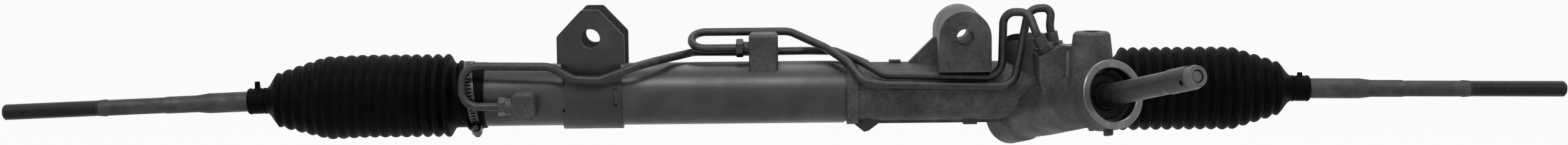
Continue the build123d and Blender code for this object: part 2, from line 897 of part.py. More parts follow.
# ---------------------------------------------------------------- hydraulic cylinder
def cylinder_tube():
    """Steel cylinder tube, drilled for its two ports."""
    tube = tube_x(tube_radius, tube_bore_radius, -housing_end, tube_end)
    tube -= Pos(left_boss_x, -tube_radius, -left_boss_drop) * Rot(90, 0, 0) * Cylinder(2.5, 16)
    tube -= Pos(block_x, 0, tube_radius) * Cylinder(2.5, 16)
    return tube


def tube_lock_ring():
    """Split ring between the tube's end and the casting's flange, sunk below the tube's surface."""
    outer = tube_radius - tube_ring_sink
    ring = tube_x(outer, tube_bore_radius, tube_end + seat_gap, flange_x - seat_gap)
    split = box_between((tube_end - 1, -1.0, -tube_radius), (flange_x + 1, 1.0, -rack_radius))
    return ring - split


def end_bushing():
    """Bushing in the tube's open end, with a recess for its seal."""
    start = -housing_end + end_ring_length
    end = start + end_bushing_length
    bushing = tube_x(tube_bore_radius - 0.02, rack_radius + running_gap, start, end)
    bushing -= rod_x(rack_radius + rack_seal_depth, end - rack_seal_length, end + 1)
    for station in (start + 9, start + 20):
        bushing -= tube_x(tube_radius, tube_bore_radius - 1.8, station, station + 2.6)
    return bushing


def end_seal():
    """Rack seal in the end bushing."""
    end = -housing_end + end_ring_length + end_bushing_length
    outer = rack_radius + rack_seal_depth - 0.02
    return tube_x(outer, rack_radius + running_gap, end - rack_seal_length, end)


def end_lock_ring():
    """Ring that keeps the end bushing in the tube."""
    start = -housing_end
    return tube_x(tube_bore_radius - 0.02, rack_radius + 4.0, start, start + end_ring_length - 0.05)


def bulkhead():
    """Inner bulkhead between the cylinder and the gear housing."""
    end = bulkhead_x + bulkhead_length
    body = tube_x(tube_bore_radius - 0.02, rack_radius + running_gap, bulkhead_x, end)
    body -= rod_x(rack_radius + rack_seal_depth, bulkhead_x - 1, bulkhead_x + rack_seal_length)
    body -= tube_x(tube_radius, tube_bore_radius - 1.8, bulkhead_x + 12, bulkhead_x + 15)
    return body


def bulkhead_seal():
    """Rack seal in the inner bulkhead."""
    outer = rack_radius + rack_seal_depth - 0.02
    return tube_x(outer, rack_radius + running_gap, bulkhead_x, bulkhead_x + rack_seal_length)


def rack_bushing():
    """Plain bushing that guides the rack at the casting's open end."""
    return tube_x(
        barrel_bore_radius - 0.02,
        rack_radius + running_gap,
        housing_end - spigot_length / 2,
        housing_end - 1,
    )


def clip_stations():
    """Left edge of the two clips that hold the piston on the rack."""
    half = piston_length / 2
    return (piston_x - half - clip_width, piston_x + half)


def piston():
    """Piston on the rack, grooved for its ring."""
    half = piston_length / 2
    body = tube_x(piston_radius, rack_radius + 0.02, piston_x - half, piston_x + half)
    groove_half = piston_ring_width / 2 + seat_gap
    body -= tube_x(
        piston_radius + 1,
        piston_radius - piston_ring_depth,
        piston_x - groove_half,
        piston_x + groove_half,
    )
    return body


def piston_ring():
    """Seal ring that runs in the tube's bore."""
    half = piston_ring_width / 2
    return tube_x(
        tube_bore_radius - running_gap,
        piston_radius - piston_ring_depth + seat_gap,
        piston_x - half,
        piston_x + half,
    )


def piston_clips():
    """Two clips in the rack's grooves."""
    inner = clip_groove_radius + seat_gap
    rings = [
        tube_x(clip_radius, inner, station + 0.03, station + clip_width - 0.03)
        for station in clip_stations()
    ]
    return Compound(children=rings)


# ---------------------------------------------------------------- ports, lines and nuts
def left_port_boss():
    """Port boss brazed on the front of the tube, with a neck for the line nut."""
    low = -left_boss_drop - left_boss_height / 2
    high = -left_boss_drop + left_boss_height / 2
    half = left_boss_length / 2
    body = box_between(
        (left_boss_x - half, -left_boss_front, low),
        (left_boss_x + half, -tube_radius + 9, high),
    )
    body = fillet(body.edges().filter_by(Axis.Y), left_boss_corner)
    front = body.faces().sort_by(Axis.Y)[0]
    body = fillet(front.edges(), 0.6 * left_boss_corner)
    neck = Pos(0, -left_boss_front + left_neck_radius + 1, -left_boss_drop) * rod_x(
        left_neck_radius, left_boss_x - half - left_neck_length, left_boss_x
    )
    body += neck
    return body - rod_x(tube_radius, left_boss_x - 40, left_boss_x + 40)


def left_port_axis_y():
    """Y of the left line nut's axis."""
    return -left_boss_front + left_neck_radius + 1


def left_nut_x():
    """Outer face of the left line nut."""
    return left_boss_x - left_boss_length / 2 - left_neck_length - nut_length


def centre_port_block():
    """Port block saddled on top of the tube, with a neck towards the left."""
    half = block_length / 2
    depth = block_depth / 2
    body = box_between(
        (block_x - half, -depth, 0),
        (block_x + half, depth, block_top),
    )
    top = body.faces().sort_by(Axis.Z)[-1]
    body = chamfer(top.edges(), 2.2)
    body = fillet(body.edges().filter_by(Axis.Z), 2.4)
    body += Pos(0, 0, block_port_height) * rod_x(
        block_neck_radius, block_x - half - block_neck_length, block_x
    )
    return body - rod_x(tube_radius, block_x - 40, block_x + 40)


def block_nut_x():
    """Outer face of the centre block's line nut."""
    return block_x - block_length / 2 - block_neck_length - nut_length


def line_nut():
    """Hexagon line nut along Z: its seat is at Z = 0 and its collar is on the far side."""
    nut = hexagon_bar(nut_flats, 0, nut_length)
    rounding = turned_z(
        [
            (0, 0),
            (0, nut_flats / 2 + 0.2),
            (0.8, nut_flats / 2 + 1.4),
            (nut_length - 0.8, nut_flats / 2 + 1.4),
            (nut_length, nut_flats / 2 + 0.2),
            (nut_length, 0),
        ]
    )
    nut &= rounding
    return nut - rod_z(line_radius + 0.02, -1, nut_length + 1)


def nut_collar():
    """Round sleeve of the nut where the line leaves it."""
    sleeve = rod_z(nut_collar_radius, nut_length, nut_length + nut_collar_length)
    return sleeve - rod_z(line_radius + 0.02, 0, nut_length + nut_collar_length + 1)


def left_line_nut():
    """Nut of the line at the left port."""
    seat = left_nut_x() + nut_length
    place = Pos(seat, left_port_axis_y(), -left_boss_drop) * Rot(0, -90, 0)
    return place * line_nut()


def line_nuts():
    """The other three line nuts: one at the centre block, two on the valve port block."""
    seat = block_nut_x() + nut_length
    nuts = [Pos(seat, 0, block_port_height) * Rot(0, -90, 0) * line_nut()]
    for index in range(2):
        nuts.append(valve_port_location(index) * (line_nut() + nut_collar()))
    return Compound(children=nuts)


def bend_radii(points, share):
    """Bend radius at each inner corner of a route, from the shorter run beside it."""
    radii = []
    for before, corner, after in zip(points, points[1:], points[2:]):
        run_in = Vector(*corner) - Vector(*before)
        run_out = Vector(*after) - Vector(*corner)
        turn = radians(run_in.get_angle(run_out))
        shorter = min(run_in.length, run_out.length)
        radii.append(min(share * shorter / tan(turn / 2), largest_bend))
    return radii


def bent_line(points):
    """A bent metal line through the corners of its route."""
    path = FilletPolyline(*points, radius=bend_radii(points, 0.46))
    section = Plane(origin=path @ 0, z_dir=path % 0) * Circle(line_radius)
    return sweep(section, path)


def valve_port_point(index, distance):
    """A point on a valve port's axis, a distance out from its seat."""
    x, y, z, lean = valve_ports[index]
    return (x - distance * sin(radians(lean)), y, z + distance * cos(radians(lean)))


def left_line_route():
    """Corners of the line from the left port to the front valve port."""
    port_y = left_port_axis_y()
    entry = nut_length + nut_collar_length + 5
    return [
        (left_nut_x() + 3, port_y, -left_boss_drop),
        (left_turn_x, port_y, -left_boss_drop),
        (left_turn_x, -31.0, 28.5),
        (-200.0, -37.0, 28.0),
        (-179.0, -35.5, 17.0),
        (-157.0, -35.5, 16.0),
        (-129.0, -36.5, 26.5),
        (-110.0, -22.0, 30.5),
        (-78.0, 15.0, 34.5),
        (-42.0, 26.0, 33.0),
        (18.0, 25.0, 33.6),
        (44.0, 6.0, 35.0),
        (66.0, -21.0, 28.5),
        (86.0, -30.0, 17.4),
        (186.0, -30.0, 14.6),
        (187.5, -31.0, 70.5),
        (208.0, -39.0, 71.0),
        valve_port_point(0, entry),
        valve_port_point(0, 1.0),
    ]


def right_line_route():
    """Corners of the line from the centre block to the rear valve port."""
    entry = nut_length + nut_collar_length + 5
    return [
        (block_nut_x() + 3, 0.0, block_port_height),
        (-80.0, 0.0, block_port_height),
        (-80.0, 24.0, 51.0),
        (5.0, 24.0, 51.0),
        (36.0, 2.0, 38.5),
        (55.0, -24.0, 28.0),
        (68.0, -35.0, 12.0),
        (86.0, -33.4, 9.6),
        (196.0, -33.0, 7.0),
        (209.5, -24.0, 72.5),
        (229.0, -25.0, 73.5),
        valve_port_point(1, entry),
        valve_port_point(1, 1.0),
    ]


# ---------------------------------------------------------------- mounting bracket
def ear_floor(side):
    """Lower edge of the ear on one side of the bracket, above the rack axis."""
    return bracket_front_floor if side < 0 else bracket_back_floor


def saddle_strip(side):
    """Cross section of half the saddle, in Y and Z: tube wrap, joggle and ear."""
    outer = tube_radius + saddle_sheet
    ear_outer = bracket_spread / 2
    turn_out = sqrt(outer**2 - saddle_turn_height**2)
    turn_in = sqrt(tube_radius**2 - saddle_turn_height**2)
    return Polyline(
        (0, side * turn_in, saddle_turn_height),
        (0, side * turn_out, saddle_turn_height),
        (0, side * ear_outer, ear_floor(side)),
        (0, side * (ear_outer - bracket_sheet), ear_floor(side) + 1.5),
        close=True,
    )


def bracket_ear(side):
    """One ear of the bracket, with its crown and shoulders rounded, standing on Y = 0."""
    half = bracket_width / 2
    crown = bracket_crown_width / 2
    outline = Polyline(
        (-half, 0, ear_floor(side)),
        (-half, 0, bracket_shoulder),
        (-crown, 0, bracket_top),
        (crown, 0, bracket_top),
        (half, 0, bracket_shoulder),
        (half, 0, ear_floor(side)),
        close=True,
    )
    ear = extrude(make_face(outline), bracket_sheet, dir=(0, 1, 0))
    return fillet(ear.edges().filter_by(Axis.Y).sort_by(Axis.Z)[2:], 4.0)


def mount_bracket():
    """Bracket bent from one sheet: a saddle under the tube whose ends stand up as two ears."""
    half = bracket_width / 2
    ear_outer = bracket_spread / 2
    wrap = tube_x(
        tube_radius + saddle_sheet,
        tube_radius + 0.02,
        bracket_x - saddle_width / 2,
        bracket_x + saddle_width / 2,
    )
    wrap -= box_between(
        (bracket_x - half, -2 * tube_radius, saddle_turn_height),
        (bracket_x + half, 2 * tube_radius, 2 * tube_radius),
    )
    bracket = wrap
    for side in (-1, 1):
        strip = extrude(make_face(saddle_strip(side)), saddle_width / 2, dir=(1, 0, 0), both=True)
        bracket += Pos(bracket_x, 0, 0) * strip
        ear_y = -ear_outer if side < 0 else ear_outer - bracket_sheet
        bracket += Pos(bracket_x, ear_y, 0) * bracket_ear(side)
    hole = Rot(90, 0, 0) * Cylinder(bracket_hole_radius, 2 * bracket_spread)
    bracket -= Pos(bracket_x, 0, bore_height + 1) * hole
    for slot_x, slot_z, height in saddle_slots:
        slot = Box(saddle_slot_width, 4 * tube_radius, height)
        bracket -= Pos(bracket_x + slot_x, 0, slot_z) * slot
    return bracket


# ---------------------------------------------------------------- ball joints and tie rods
def outboard(part, side):
    """Mirrors a part built towards +X from a ball centre onto either end of the rack."""
    if side < 0:
        part = part.mirror(Plane.YZ)
    return Pos(side * ball_from_centre, 0, 0) * part


def drooped(part, side):
    """As outboard, but turned down to the tie rod's resting angle."""
    droop = left_droop if side < 0 else right_droop
    return outboard(Rot(0, droop, 0) * part, side)


def sphere_shell(outer, inner, from_angle, to_angle):
    """Part of a spherical shell between two angles from +X."""
    start, end = radians(from_angle), radians(to_angle)
    middle = (start + end) / 2

    def at(radius, angle):
        return (radius * cos(angle), radius * sin(angle))

    edges = [
        ThreePointArc(at(outer, start), at(outer, middle), at(outer, end)),
        Line(at(outer, end), at(inner, end)),
        ThreePointArc(at(inner, end), at(inner, middle), at(inner, start)),
    ]
    if at(outer, start) != at(inner, start):
        edges.append(Line(at(inner, start), at(outer, start)))
    return revolve(make_face(edges), Axis.X)


def socket(side):
    """Ball socket with its stud in the rack and two spanner flats."""
    cavity = ball_radius + ball_seat_wall + running_gap
    body = rod_x(socket_radius, -socket_back, socket_mouth)
    body -= Sphere(cavity)
    body += rod_x(socket_stud_radius, -socket_back - socket_stud_length, -socket_back)
    for turn in (0, 180):
        flat = box_between(
            (-socket_back - 1, -2 * socket_radius, socket_flats / 2),
            (-socket_back + socket_flat_length, 2 * socket_radius, 2 * socket_radius),
        )
        body -= Rot(turn, 0, 0) * flat
    return outboard(body, side)


def ball_cup(side):
    """Seat behind the ball."""
    outer = ball_radius + ball_seat_wall
    return outboard(sphere_shell(outer, ball_radius + running_gap, 180 - cup_angle, 180), side)


def ball_ring(side):
    """Seat ring in front of the ball."""
    outer = ball_radius + ball_seat_wall
    ring = sphere_shell(outer, ball_radius + running_gap, seat_ring_from, seat_ring_to)
    return drooped(ring, side)


def tie_rod(side):
    """Ball stud and rod in one forging, with spanner flats and a plain thread blank."""
    neck_start = sqrt(ball_radius**2 - rod_neck_radius**2) - 0.5
    points = [
        (neck_start, 0),
        (neck_start, rod_neck_radius),
        (rod_neck_end, rod_neck_radius),
        (rod_flare_end, rod_thick_radius),
        (rod_thick_end, rod_thick_radius),
        (rod_taper_end, rod_thin_radius),
        (rod_thread_start - 2, rod_thin_radius),
        (rod_thread_start, rod_thread_radius),
        (rod_length - rod_end_chamfer, rod_thread_radius),
        (rod_length, rod_thread_radius - rod_end_chamfer),
        (rod_length, 0),
    ]
    rod = turned_x(points) + Sphere(ball_radius)
    for turn in (0, 180):
        flat = box_between(
            (rod_flats_from, -2 * rod_thin_radius, rod_flats / 2),
            (rod_flats_to, 2 * rod_thin_radius, 2 * rod_thin_radius),
        )
        rod -= Rot(turn, 0, 0) * Rot(90, 0, 0) * flat
    return drooped(rod, side)


# ---------------------------------------------------------------- bellows
def boot_split(part, side, keep_inner):
    """Cuts a bellows at the ball centre, on the plane halfway between rack and tie rod."""
    droop = left_droop if side < 0 else right_droop
    reach = 3 * boot_radius
    box = box_between((-reach, -reach, -reach), (0, reach, reach))
    if not keep_inner:
        box = box_between((0, -reach, -reach), (reach, reach, reach))
    return part & (Rot(0, droop / 2, 0) * box)


def pleat_outline(side):
    """Crests and valleys of a bellows in turn: (along X, radius), from its neck to its taper."""
    first = boot_first_crest[side]
    pitch = (boot_last_crest[side] - first) / (boot_crests[side] - 1)
    taper_run = boot_last_crest[side] - boot_taper_from[side]

    def crest_radius(station):
        tapered = max(0.0, (station - boot_taper_from[side]) / taper_run)
        return boot_radius - (boot_radius - boot_last_radius[side]) * tapered

    points = []
    for index in range(boot_crests[side]):
        crest = first + index * pitch
        valley = crest + pitch / 2
        points.append((crest, crest_radius(crest)))
        points.append((valley, crest_radius(valley) - boot_pleat_depth))
    return points[:-1]


def bellows(side):
    """A whole bellows: neck on the housing end, pleats, taper and neck on the tie rod."""
    start = housing_end - ball_from_centre - boot_neck_length + boot_shoulder
    neck_end = start + boot_neck_length
    large_inner = spigot_radius + seat_gap
    small_inner = rod_thick_radius + seat_gap
    small_end = boot_end_distance[side]
    neck_start = small_end - boot_small_length
    web = boot_pleat_depth + boot_wall
    outside = [(start, large_inner), (start, large_inner + boot_wall), (neck_end, large_inner + boot_wall)]
    outside += pleat_outline(side)
    outside += [(neck_start, boot_small_radius), (small_end, boot_small_radius)]
    inside = [
        (small_end, small_inner),
        (neck_start - 1, small_inner),
        (boot_last_crest[side], boot_last_radius[side] - web),
        (boot_taper_from[side], boot_radius - web),
        (boot_first_crest[side] + 1, boot_radius - web),
        (neck_end + 1, large_inner),
    ]
    return turned_x(outside + inside)


def boot_inner(side):
    """Inboard half of a bellows, from its neck on the housing end."""
    return outboard(boot_split(bellows(side), side, True), side)


def boot_outer(side):
    """Outboard half of a bellows, turned down with its tie rod."""
    droop = left_droop if side < 0 else right_droop
    return outboard(boot_split(Rot(0, droop, 0) * bellows(side), side, False), side)


# ---------------------------------------------------------------- clamps
def large_clamp(side):
    """Worm-drive band on the bellows' large neck."""
    inner = spigot_radius + seat_gap + boot_wall + seat_gap
    outer = inner + clamp_band
    start = housing_end - boot_neck_length + boot_shoulder + clamp_inset
    middle = start + clamp_width / 2
    band = tube_x(outer, inner, start, start + clamp_width)
    housing = Pos(middle, 0, outer + clamp_screw_radius - 1) * Rot(90, 0, 0) * (
        Cylinder(clamp_screw_radius, clamp_screw_length * 0.6)
        + Pos(0, 0, clamp_screw_length * 0.45) * Cylinder(clamp_screw_radius * 0.85, clamp_screw_length * 0.35)
    )
    saddle = Pos(middle, 0, outer) * Box(clamp_width - 2, clamp_screw_length * 0.6, 3.0)
    worm = Rot(150, 0, 0) * (housing + saddle)
    clamp = band + worm - rod_x(inner, start - 10, start + clamp_width + 10)
    if side < 0:
        clamp = clamp.mirror(Plane.YZ)
    return clamp


def small_clamp(side):
    """Pinched ring on the bellows' small neck."""
    inner = boot_small_radius + seat_gap
    outer = inner + small_clamp_band
    middle = boot_end_distance[side] - boot_small_length / 2
    start = middle - small_clamp_width / 2
    band = tube_x(outer, inner, start, start + small_clamp_width)
    ear_half = small_clamp_ear_width / 2
    ear = box_between(
        (middle - ear_half, -1.6, outer - 0.4),
        (middle + ear_half, 1.6, outer + small_clamp_ear[side]),
    )
    ear = fillet(ear.edges().filter_by(Axis.X).sort_by(Axis.Z)[2:], 1.2)
    return drooped(band + ear, side)


# ---------------------------------------------------------------- export
def sub_parts():
    """Each node's name and its solid in the working frame."""
    parts = {
        "gear_housing": gear_housing(),
        "lower_cap": lower_cap(),
        "pinion_lower_bearing": lower_bearing(),
        "pinion_upper_bush": upper_bush(),
        "input_bearing": input_bearing(),
        "input_seal": input_seal(),
        "input_snap_ring": input_snap_ring(),
        "yoke": yoke(),
        "yoke_spring": yoke_spring(),
        "yoke_plug": yoke_plug(),
        "yoke_lock_nut": yoke_lock_nut(),
        "cylinder_tube": cylinder_tube(),
        "tube_lock_ring": tube_lock_ring(),
        "end_bushing": end_bushing(),
        "end_seal": end_seal(),
        "end_lock_ring": end_lock_ring(),
        "bulkhead": bulkhead(),
        "bulkhead_seal": bulkhead_seal(),
        "rack_bushing": rack_bushing(),
        "mount_bracket": mount_bracket(),
        "left_port_boss": left_port_boss(),
        "centre_port_block": centre_port_block(),
        "left_line_nut": left_line_nut(),
        "line_nuts": line_nuts(),
        "left_transfer_line": bent_line(left_line_route()),
        "right_transfer_line": bent_line(right_line_route()),
        "rack_bar": rack_bar(),
        "piston": piston(),
        "piston_ring": piston_ring(),
        "piston_clips": piston_clips(),
        "pinion": pinion(),
        "valve_sleeve": valve_sleeve(),
        "valve_rings": valve_rings(),
        "input_shaft": input_shaft(),
        "torsion_bar": torsion_bar(),
        "cross_pin": cross_pin(),
    }
    for side, word in ((-1, "left"), (1, "right")):
        parts[f"{word}_socket"] = socket(side)
        parts[f"{word}_ball_cup"] = ball_cup(side)
        parts[f"{word}_ball_ring"] = ball_ring(side)
        parts[f"{word}_tie_rod"] = tie_rod(side)
        parts[f"{word}_boot_inner"] = boot_inner(side)
        parts[f"{word}_boot_outer"] = boot_outer(side)
        parts[f"{word}_boot_clamp"] = large_clamp(side)
        parts[f"{word}_boot_small_clamp"] = small_clamp(side)
    return parts


os.makedirs("parts", exist_ok=True)
for node, solid in sub_parts().items():
    export_step(boss_to_origin * solid, f"parts/{node}.step")
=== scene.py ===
import json
from math import atan2, cos, pi, radians, sin, sqrt

import bpy
from mathutils import Matrix, Vector


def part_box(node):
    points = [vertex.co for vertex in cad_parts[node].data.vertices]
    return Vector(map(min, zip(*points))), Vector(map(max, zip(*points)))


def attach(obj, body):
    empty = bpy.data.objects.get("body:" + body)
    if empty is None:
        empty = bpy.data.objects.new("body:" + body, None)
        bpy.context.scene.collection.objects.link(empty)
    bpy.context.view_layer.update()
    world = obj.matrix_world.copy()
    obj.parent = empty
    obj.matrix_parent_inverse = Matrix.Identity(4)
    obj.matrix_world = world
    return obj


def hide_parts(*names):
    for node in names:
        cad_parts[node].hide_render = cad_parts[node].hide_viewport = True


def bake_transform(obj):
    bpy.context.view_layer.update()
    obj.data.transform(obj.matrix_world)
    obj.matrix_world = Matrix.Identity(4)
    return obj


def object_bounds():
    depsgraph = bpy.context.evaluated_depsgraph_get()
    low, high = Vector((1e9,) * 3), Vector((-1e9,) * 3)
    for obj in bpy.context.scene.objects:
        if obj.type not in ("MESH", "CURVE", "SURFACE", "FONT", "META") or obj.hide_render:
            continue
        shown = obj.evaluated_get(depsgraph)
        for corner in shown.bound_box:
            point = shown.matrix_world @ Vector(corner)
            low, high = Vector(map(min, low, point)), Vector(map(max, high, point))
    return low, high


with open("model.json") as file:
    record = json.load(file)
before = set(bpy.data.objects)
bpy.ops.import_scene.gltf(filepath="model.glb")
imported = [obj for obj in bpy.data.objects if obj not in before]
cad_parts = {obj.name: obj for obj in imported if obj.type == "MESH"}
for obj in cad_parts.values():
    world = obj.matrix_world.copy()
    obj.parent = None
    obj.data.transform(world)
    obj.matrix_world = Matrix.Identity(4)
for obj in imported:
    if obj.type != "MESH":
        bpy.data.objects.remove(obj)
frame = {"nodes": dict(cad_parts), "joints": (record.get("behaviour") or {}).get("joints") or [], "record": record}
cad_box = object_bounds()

# Looks of the power steering rack. Metres, in the frame of the CAD model: the rack runs along X, the
# input shaft points towards -Y and Z is up. The origin is the middle of the gear-end mounting bore.

MM = 0.001
JOINTS = {joint["name"]: joint for joint in frame["joints"]}
BALL = {side: Vector(JOINTS[f"{side}_tie_steer"]["pos_m"]) for side in ("left", "right")}
OUTWARD = {"left": -1.0, "right": 1.0}
ROD_AXIS = {side: Vector(JOINTS[f"{side}_tie_spin"]["axis"]) for side in ("left", "right")}
RACK_Z = BALL["left"].z
PINION_AXIS = Vector(JOINTS["input_twist"]["axis"])
PINION_POINT = Vector(JOINTS["input_twist"]["pos_m"])


# ---------------------------------------------------------------- node materials
MIX_FIRST, MIX_SECOND = 6, 7     # colour inputs of a mix node
MIX_RESULT = 2                   # and its colour output


class Nodes:
    """Small helper that builds a material's node tree."""

    def __init__(self, name):
        self.material = bpy.data.materials.new(name)
        self.material.use_nodes = True
        self.tree = self.material.node_tree
        self.shader = self.tree.nodes["Principled BSDF"]
        self.place = self.add("ShaderNodeTexCoord").outputs["Object"]

    def add(self, kind, **settings):
        node = self.tree.nodes.new(kind)
        for key, value in settings.items():
            setattr(node, key, value)
        return node

    def link(self, source, target):
        self.tree.links.new(source, target)

    def stretched(self, scale):
        """Object coordinates scaled by a different factor along each axis."""
        mapping = self.add("ShaderNodeMapping")
        mapping.inputs["Scale"].default_value = scale
        self.link(self.place, mapping.inputs["Vector"])
        return mapping.outputs["Vector"]

    def noise(self, scale, detail=4.0, roughness=0.55, distortion=0.0, place=None):
        node = self.add("ShaderNodeTexNoise")
        node.inputs["Scale"].default_value = scale
        node.inputs["Detail"].default_value = detail
        node.inputs["Roughness"].default_value = roughness
        node.inputs["Distortion"].default_value = distortion
        self.link(place or self.place, node.inputs["Vector"])
        return node.outputs["Fac"]

    def ramp(self, source, stops):
        """Colour ramp through (position, colour) stops."""
        node = self.add("ShaderNodeValToRGB")
        elements = node.color_ramp.elements
        while len(elements) < len(stops):
            elements.new(0.5)
        for element, (position, colour) in zip(elements, stops):
            element.position = position
            element.color = (*colour, 1.0)
        self.link(source, node.inputs["Fac"])
        return node.outputs["Color"]

    def span(self, source, low, high, from_low=0.3, from_high=0.7):
        """Maps a value onto the range low to high."""
        node = self.add("ShaderNodeMapRange")
        ends = {"From Min": from_low, "From Max": from_high, "To Min": low, "To Max": high}
        for name, value in ends.items():
            node.inputs[name].default_value = value
        self.link(source, node.inputs["Value"])
        return node.outputs["Result"]

    def mix(self, factor, first, second, blend="MIX"):
        node = self.add("ShaderNodeMix", data_type="RGBA", blend_type=blend)
        sockets = (node.inputs["Factor"], node.inputs[MIX_FIRST], node.inputs[MIX_SECOND])
        for socket, value in zip(sockets, (factor, first, second)):
            if isinstance(value, bpy.types.NodeSocket):
                self.link(value, socket)
            else:
                socket.default_value = value if isinstance(value, float) else (*value, 1.0)
        return node.outputs[MIX_RESULT]

    def bump(self, height, distance, strength=1.0, under=None):
        node = self.add("ShaderNodeBump")
        node.inputs["Distance"].default_value = distance
        node.inputs["Strength"].default_value = strength
        self.link(height, node.inputs["Height"])
        if under is not None:
            self.link(under, node.inputs["Normal"])
        return node.outputs["Normal"]

    def finish(self, colour, roughness, metallic, normal=None, specular=0.5):
        for name, value in (("Base Color", colour), ("Roughness", roughness), ("Normal", normal)):
            if isinstance(value, bpy.types.NodeSocket):
                self.link(value, self.shader.inputs[name])
            elif value is not None:
                self.shader.inputs[name].default_value = value if isinstance(value, float) else (*value, 1.0)
        self.shader.inputs["Metallic"].default_value = metallic
        self.shader.inputs["Specular IOR Level"].default_value = specular
        return self.material


def grey(value, warmth=0.0):
    """Near-neutral colour; warmth above zero leans to brown, below zero to blue."""
    return (value * (1 + warmth), value, value * (1 - warmth))


def cast_aluminium(name="cast_aluminium", brightness=1.0):
    """Sand-grey casting: fine skin grain, soft blotches and darker pits."""
    n = Nodes(name)
    blotches = n.noise(28.0, 5.0, 0.6)
    grain = n.noise(900.0, 3.0, 0.6)
    pits = n.noise(330.0, 6.0, 0.75)
    levels = ((0.30, 0.028, 0.02), (0.52, 0.050, 0.02), (0.72, 0.092, 0.04))
    colour = n.ramp(blotches, [(place, grey(level * brightness, warmth)) for place, level, warmth in levels])
    speck = n.ramp(pits, [(0.36, grey(0.45)), (0.50, grey(1.0)), (0.68, grey(1.30))])
    colour = n.mix(0.75, colour, speck, "MULTIPLY")
    normal = n.bump(grain, 0.00022, 0.75)
    normal = n.bump(pits, 0.00045, 0.5, normal)
    return n.finish(colour, n.span(blotches, 0.62, 0.46), 0.55, normal, 0.4)


def machined_aluminium():
    """Bright turned face with fine tool marks."""
    n = Nodes("machined_aluminium")
    marks = n.noise(2600.0, 2.0, 0.5)
    stain = n.noise(60.0, 4.0, 0.6)
    colour = n.ramp(stain, [(0.3, grey(0.10, 0.04)), (0.55, grey(0.15, 0.04)), (0.75, grey(0.22, 0.03))])
    return n.finish(colour, n.span(stain, 0.42, 0.28), 0.9, n.bump(marks, 0.00006, 0.5), 0.5)


def drawn_tube():
    """Dark oiled steel tube with faint drawing lines along it."""
    n = Nodes("drawn_tube")
    lines = n.noise(1.0, 5.0, 0.6, place=n.stretched((25.0, 900.0, 900.0)))
    stain = n.noise(16.0, 6.0, 0.65, 0.6)
    fine = n.noise(700.0, 3.0, 0.6)
    colour = n.ramp(stain, [(0.28, grey(0.026, -0.02)), (0.5, grey(0.042, 0.0)), (0.74, grey(0.060, 0.04))])
    colour = n.mix(0.55, colour, n.ramp(lines, [(0.3, grey(0.72)), (0.7, grey(1.15))]), "MULTIPLY")
    normal = n.bump(lines, 0.00004, 0.5)
    return n.finish(colour, n.span(stain, 0.42, 0.30), 0.65, n.bump(fine, 0.00006, 0.4, normal), 0.5)


def painted_bracket():
    """Black e-coat over pressed steel: slight orange peel, worn and dusty patches."""
    n = Nodes("painted_bracket")
    peel = n.noise(420.0, 3.0, 0.5)
    dust = n.noise(34.0, 6.0, 0.7, 0.4)
    colour = n.ramp(dust, [(0.32, grey(0.012, -0.04)), (0.55, grey(0.021, -0.02)), (0.78, grey(0.040, 0.0))])
    return n.finish(colour, n.span(dust, 0.36, 0.54), 0.15, n.bump(peel, 0.00012, 0.4), 0.40)


def dark_steel(name="dark_steel", level=0.036):
    """Phosphated steel of the lines and hidden fasteners."""
    n = Nodes(name)
    mottle = n.noise(150.0, 6.0, 0.65)
    fine = n.noise(1500.0, 2.0, 0.5)
    levels = [(0.3, grey(level * 0.65)), (0.55, grey(level)), (0.75, grey(level * 1.55, 0.02))]
    colour = n.ramp(mottle, levels)
    return n.finish(colour, n.span(mottle, 0.38, 0.52), 0.7, n.bump(fine, 0.00005, 0.5), 0.5)


def zinc_steel(name="zinc_steel", level=0.055):
    """Zinc plated steel, slightly yellowed."""
    n = Nodes(name)
    mottle = n.noise(220.0, 5.0, 0.65)
    levels = [(0.3, grey(level * 0.6, 0.08)), (0.55, grey(level, 0.06)), (0.78, grey(level * 1.5, 0.04))]
    colour = n.ramp(mottle, levels)
    return n.finish(colour, n.span(mottle, 0.42, 0.30), 0.85, n.bump(mottle, 0.00005, 0.4), 0.5)


def ground_steel():
    """Polished steel of the rack bar and pinion."""
    n = Nodes("ground_steel")
    lines = n.noise(1.0, 4.0, 0.5, place=n.stretched((300.0, 2400.0, 2400.0)))
    colour = n.ramp(lines, [(0.3, grey(0.36)), (0.7, grey(0.50, 0.01))])
    return n.finish(colour, n.span(lines, 0.30, 0.20), 0.95, n.bump(lines, 0.00002, 0.4), 0.5)


def forged_rod():
    """Bare forged rod: mid grey, faint lengthwise scratches and bluish scale."""
    n = Nodes("forged_rod")
    scale = n.noise(45.0, 6.0, 0.7, 0.5)
    scratches = n.noise(1.0, 4.0, 0.6, place=n.stretched((60.0, 1100.0, 1100.0)))
    colour = n.ramp(scale, [(0.28, grey(0.024, -0.02)), (0.50, grey(0.042, 0.0)), (0.74, grey(0.070, 0.03))])
    colour = n.mix(0.5, colour, n.ramp(scratches, [(0.3, grey(0.7)), (0.7, grey(1.2))]), "MULTIPLY")
    normal = n.bump(scratches, 0.00005, 0.5)
    return n.finish(colour, n.span(scale, 0.62, 0.48), 0.6, n.bump(scale, 0.0002, 0.25, normal), 0.4)


def thread_steel():
    """Oiled black thread."""
    n = Nodes("thread_steel")
    mottle = n.noise(260.0, 5.0, 0.6)
    colour = n.ramp(mottle, [(0.3, grey(0.008)), (0.6, grey(0.016)), (0.8, grey(0.034, 0.02))])
    return n.finish(colour, n.span(mottle, 0.36, 0.50), 0.6, n.bump(mottle, 0.00004, 0.4), 0.5)


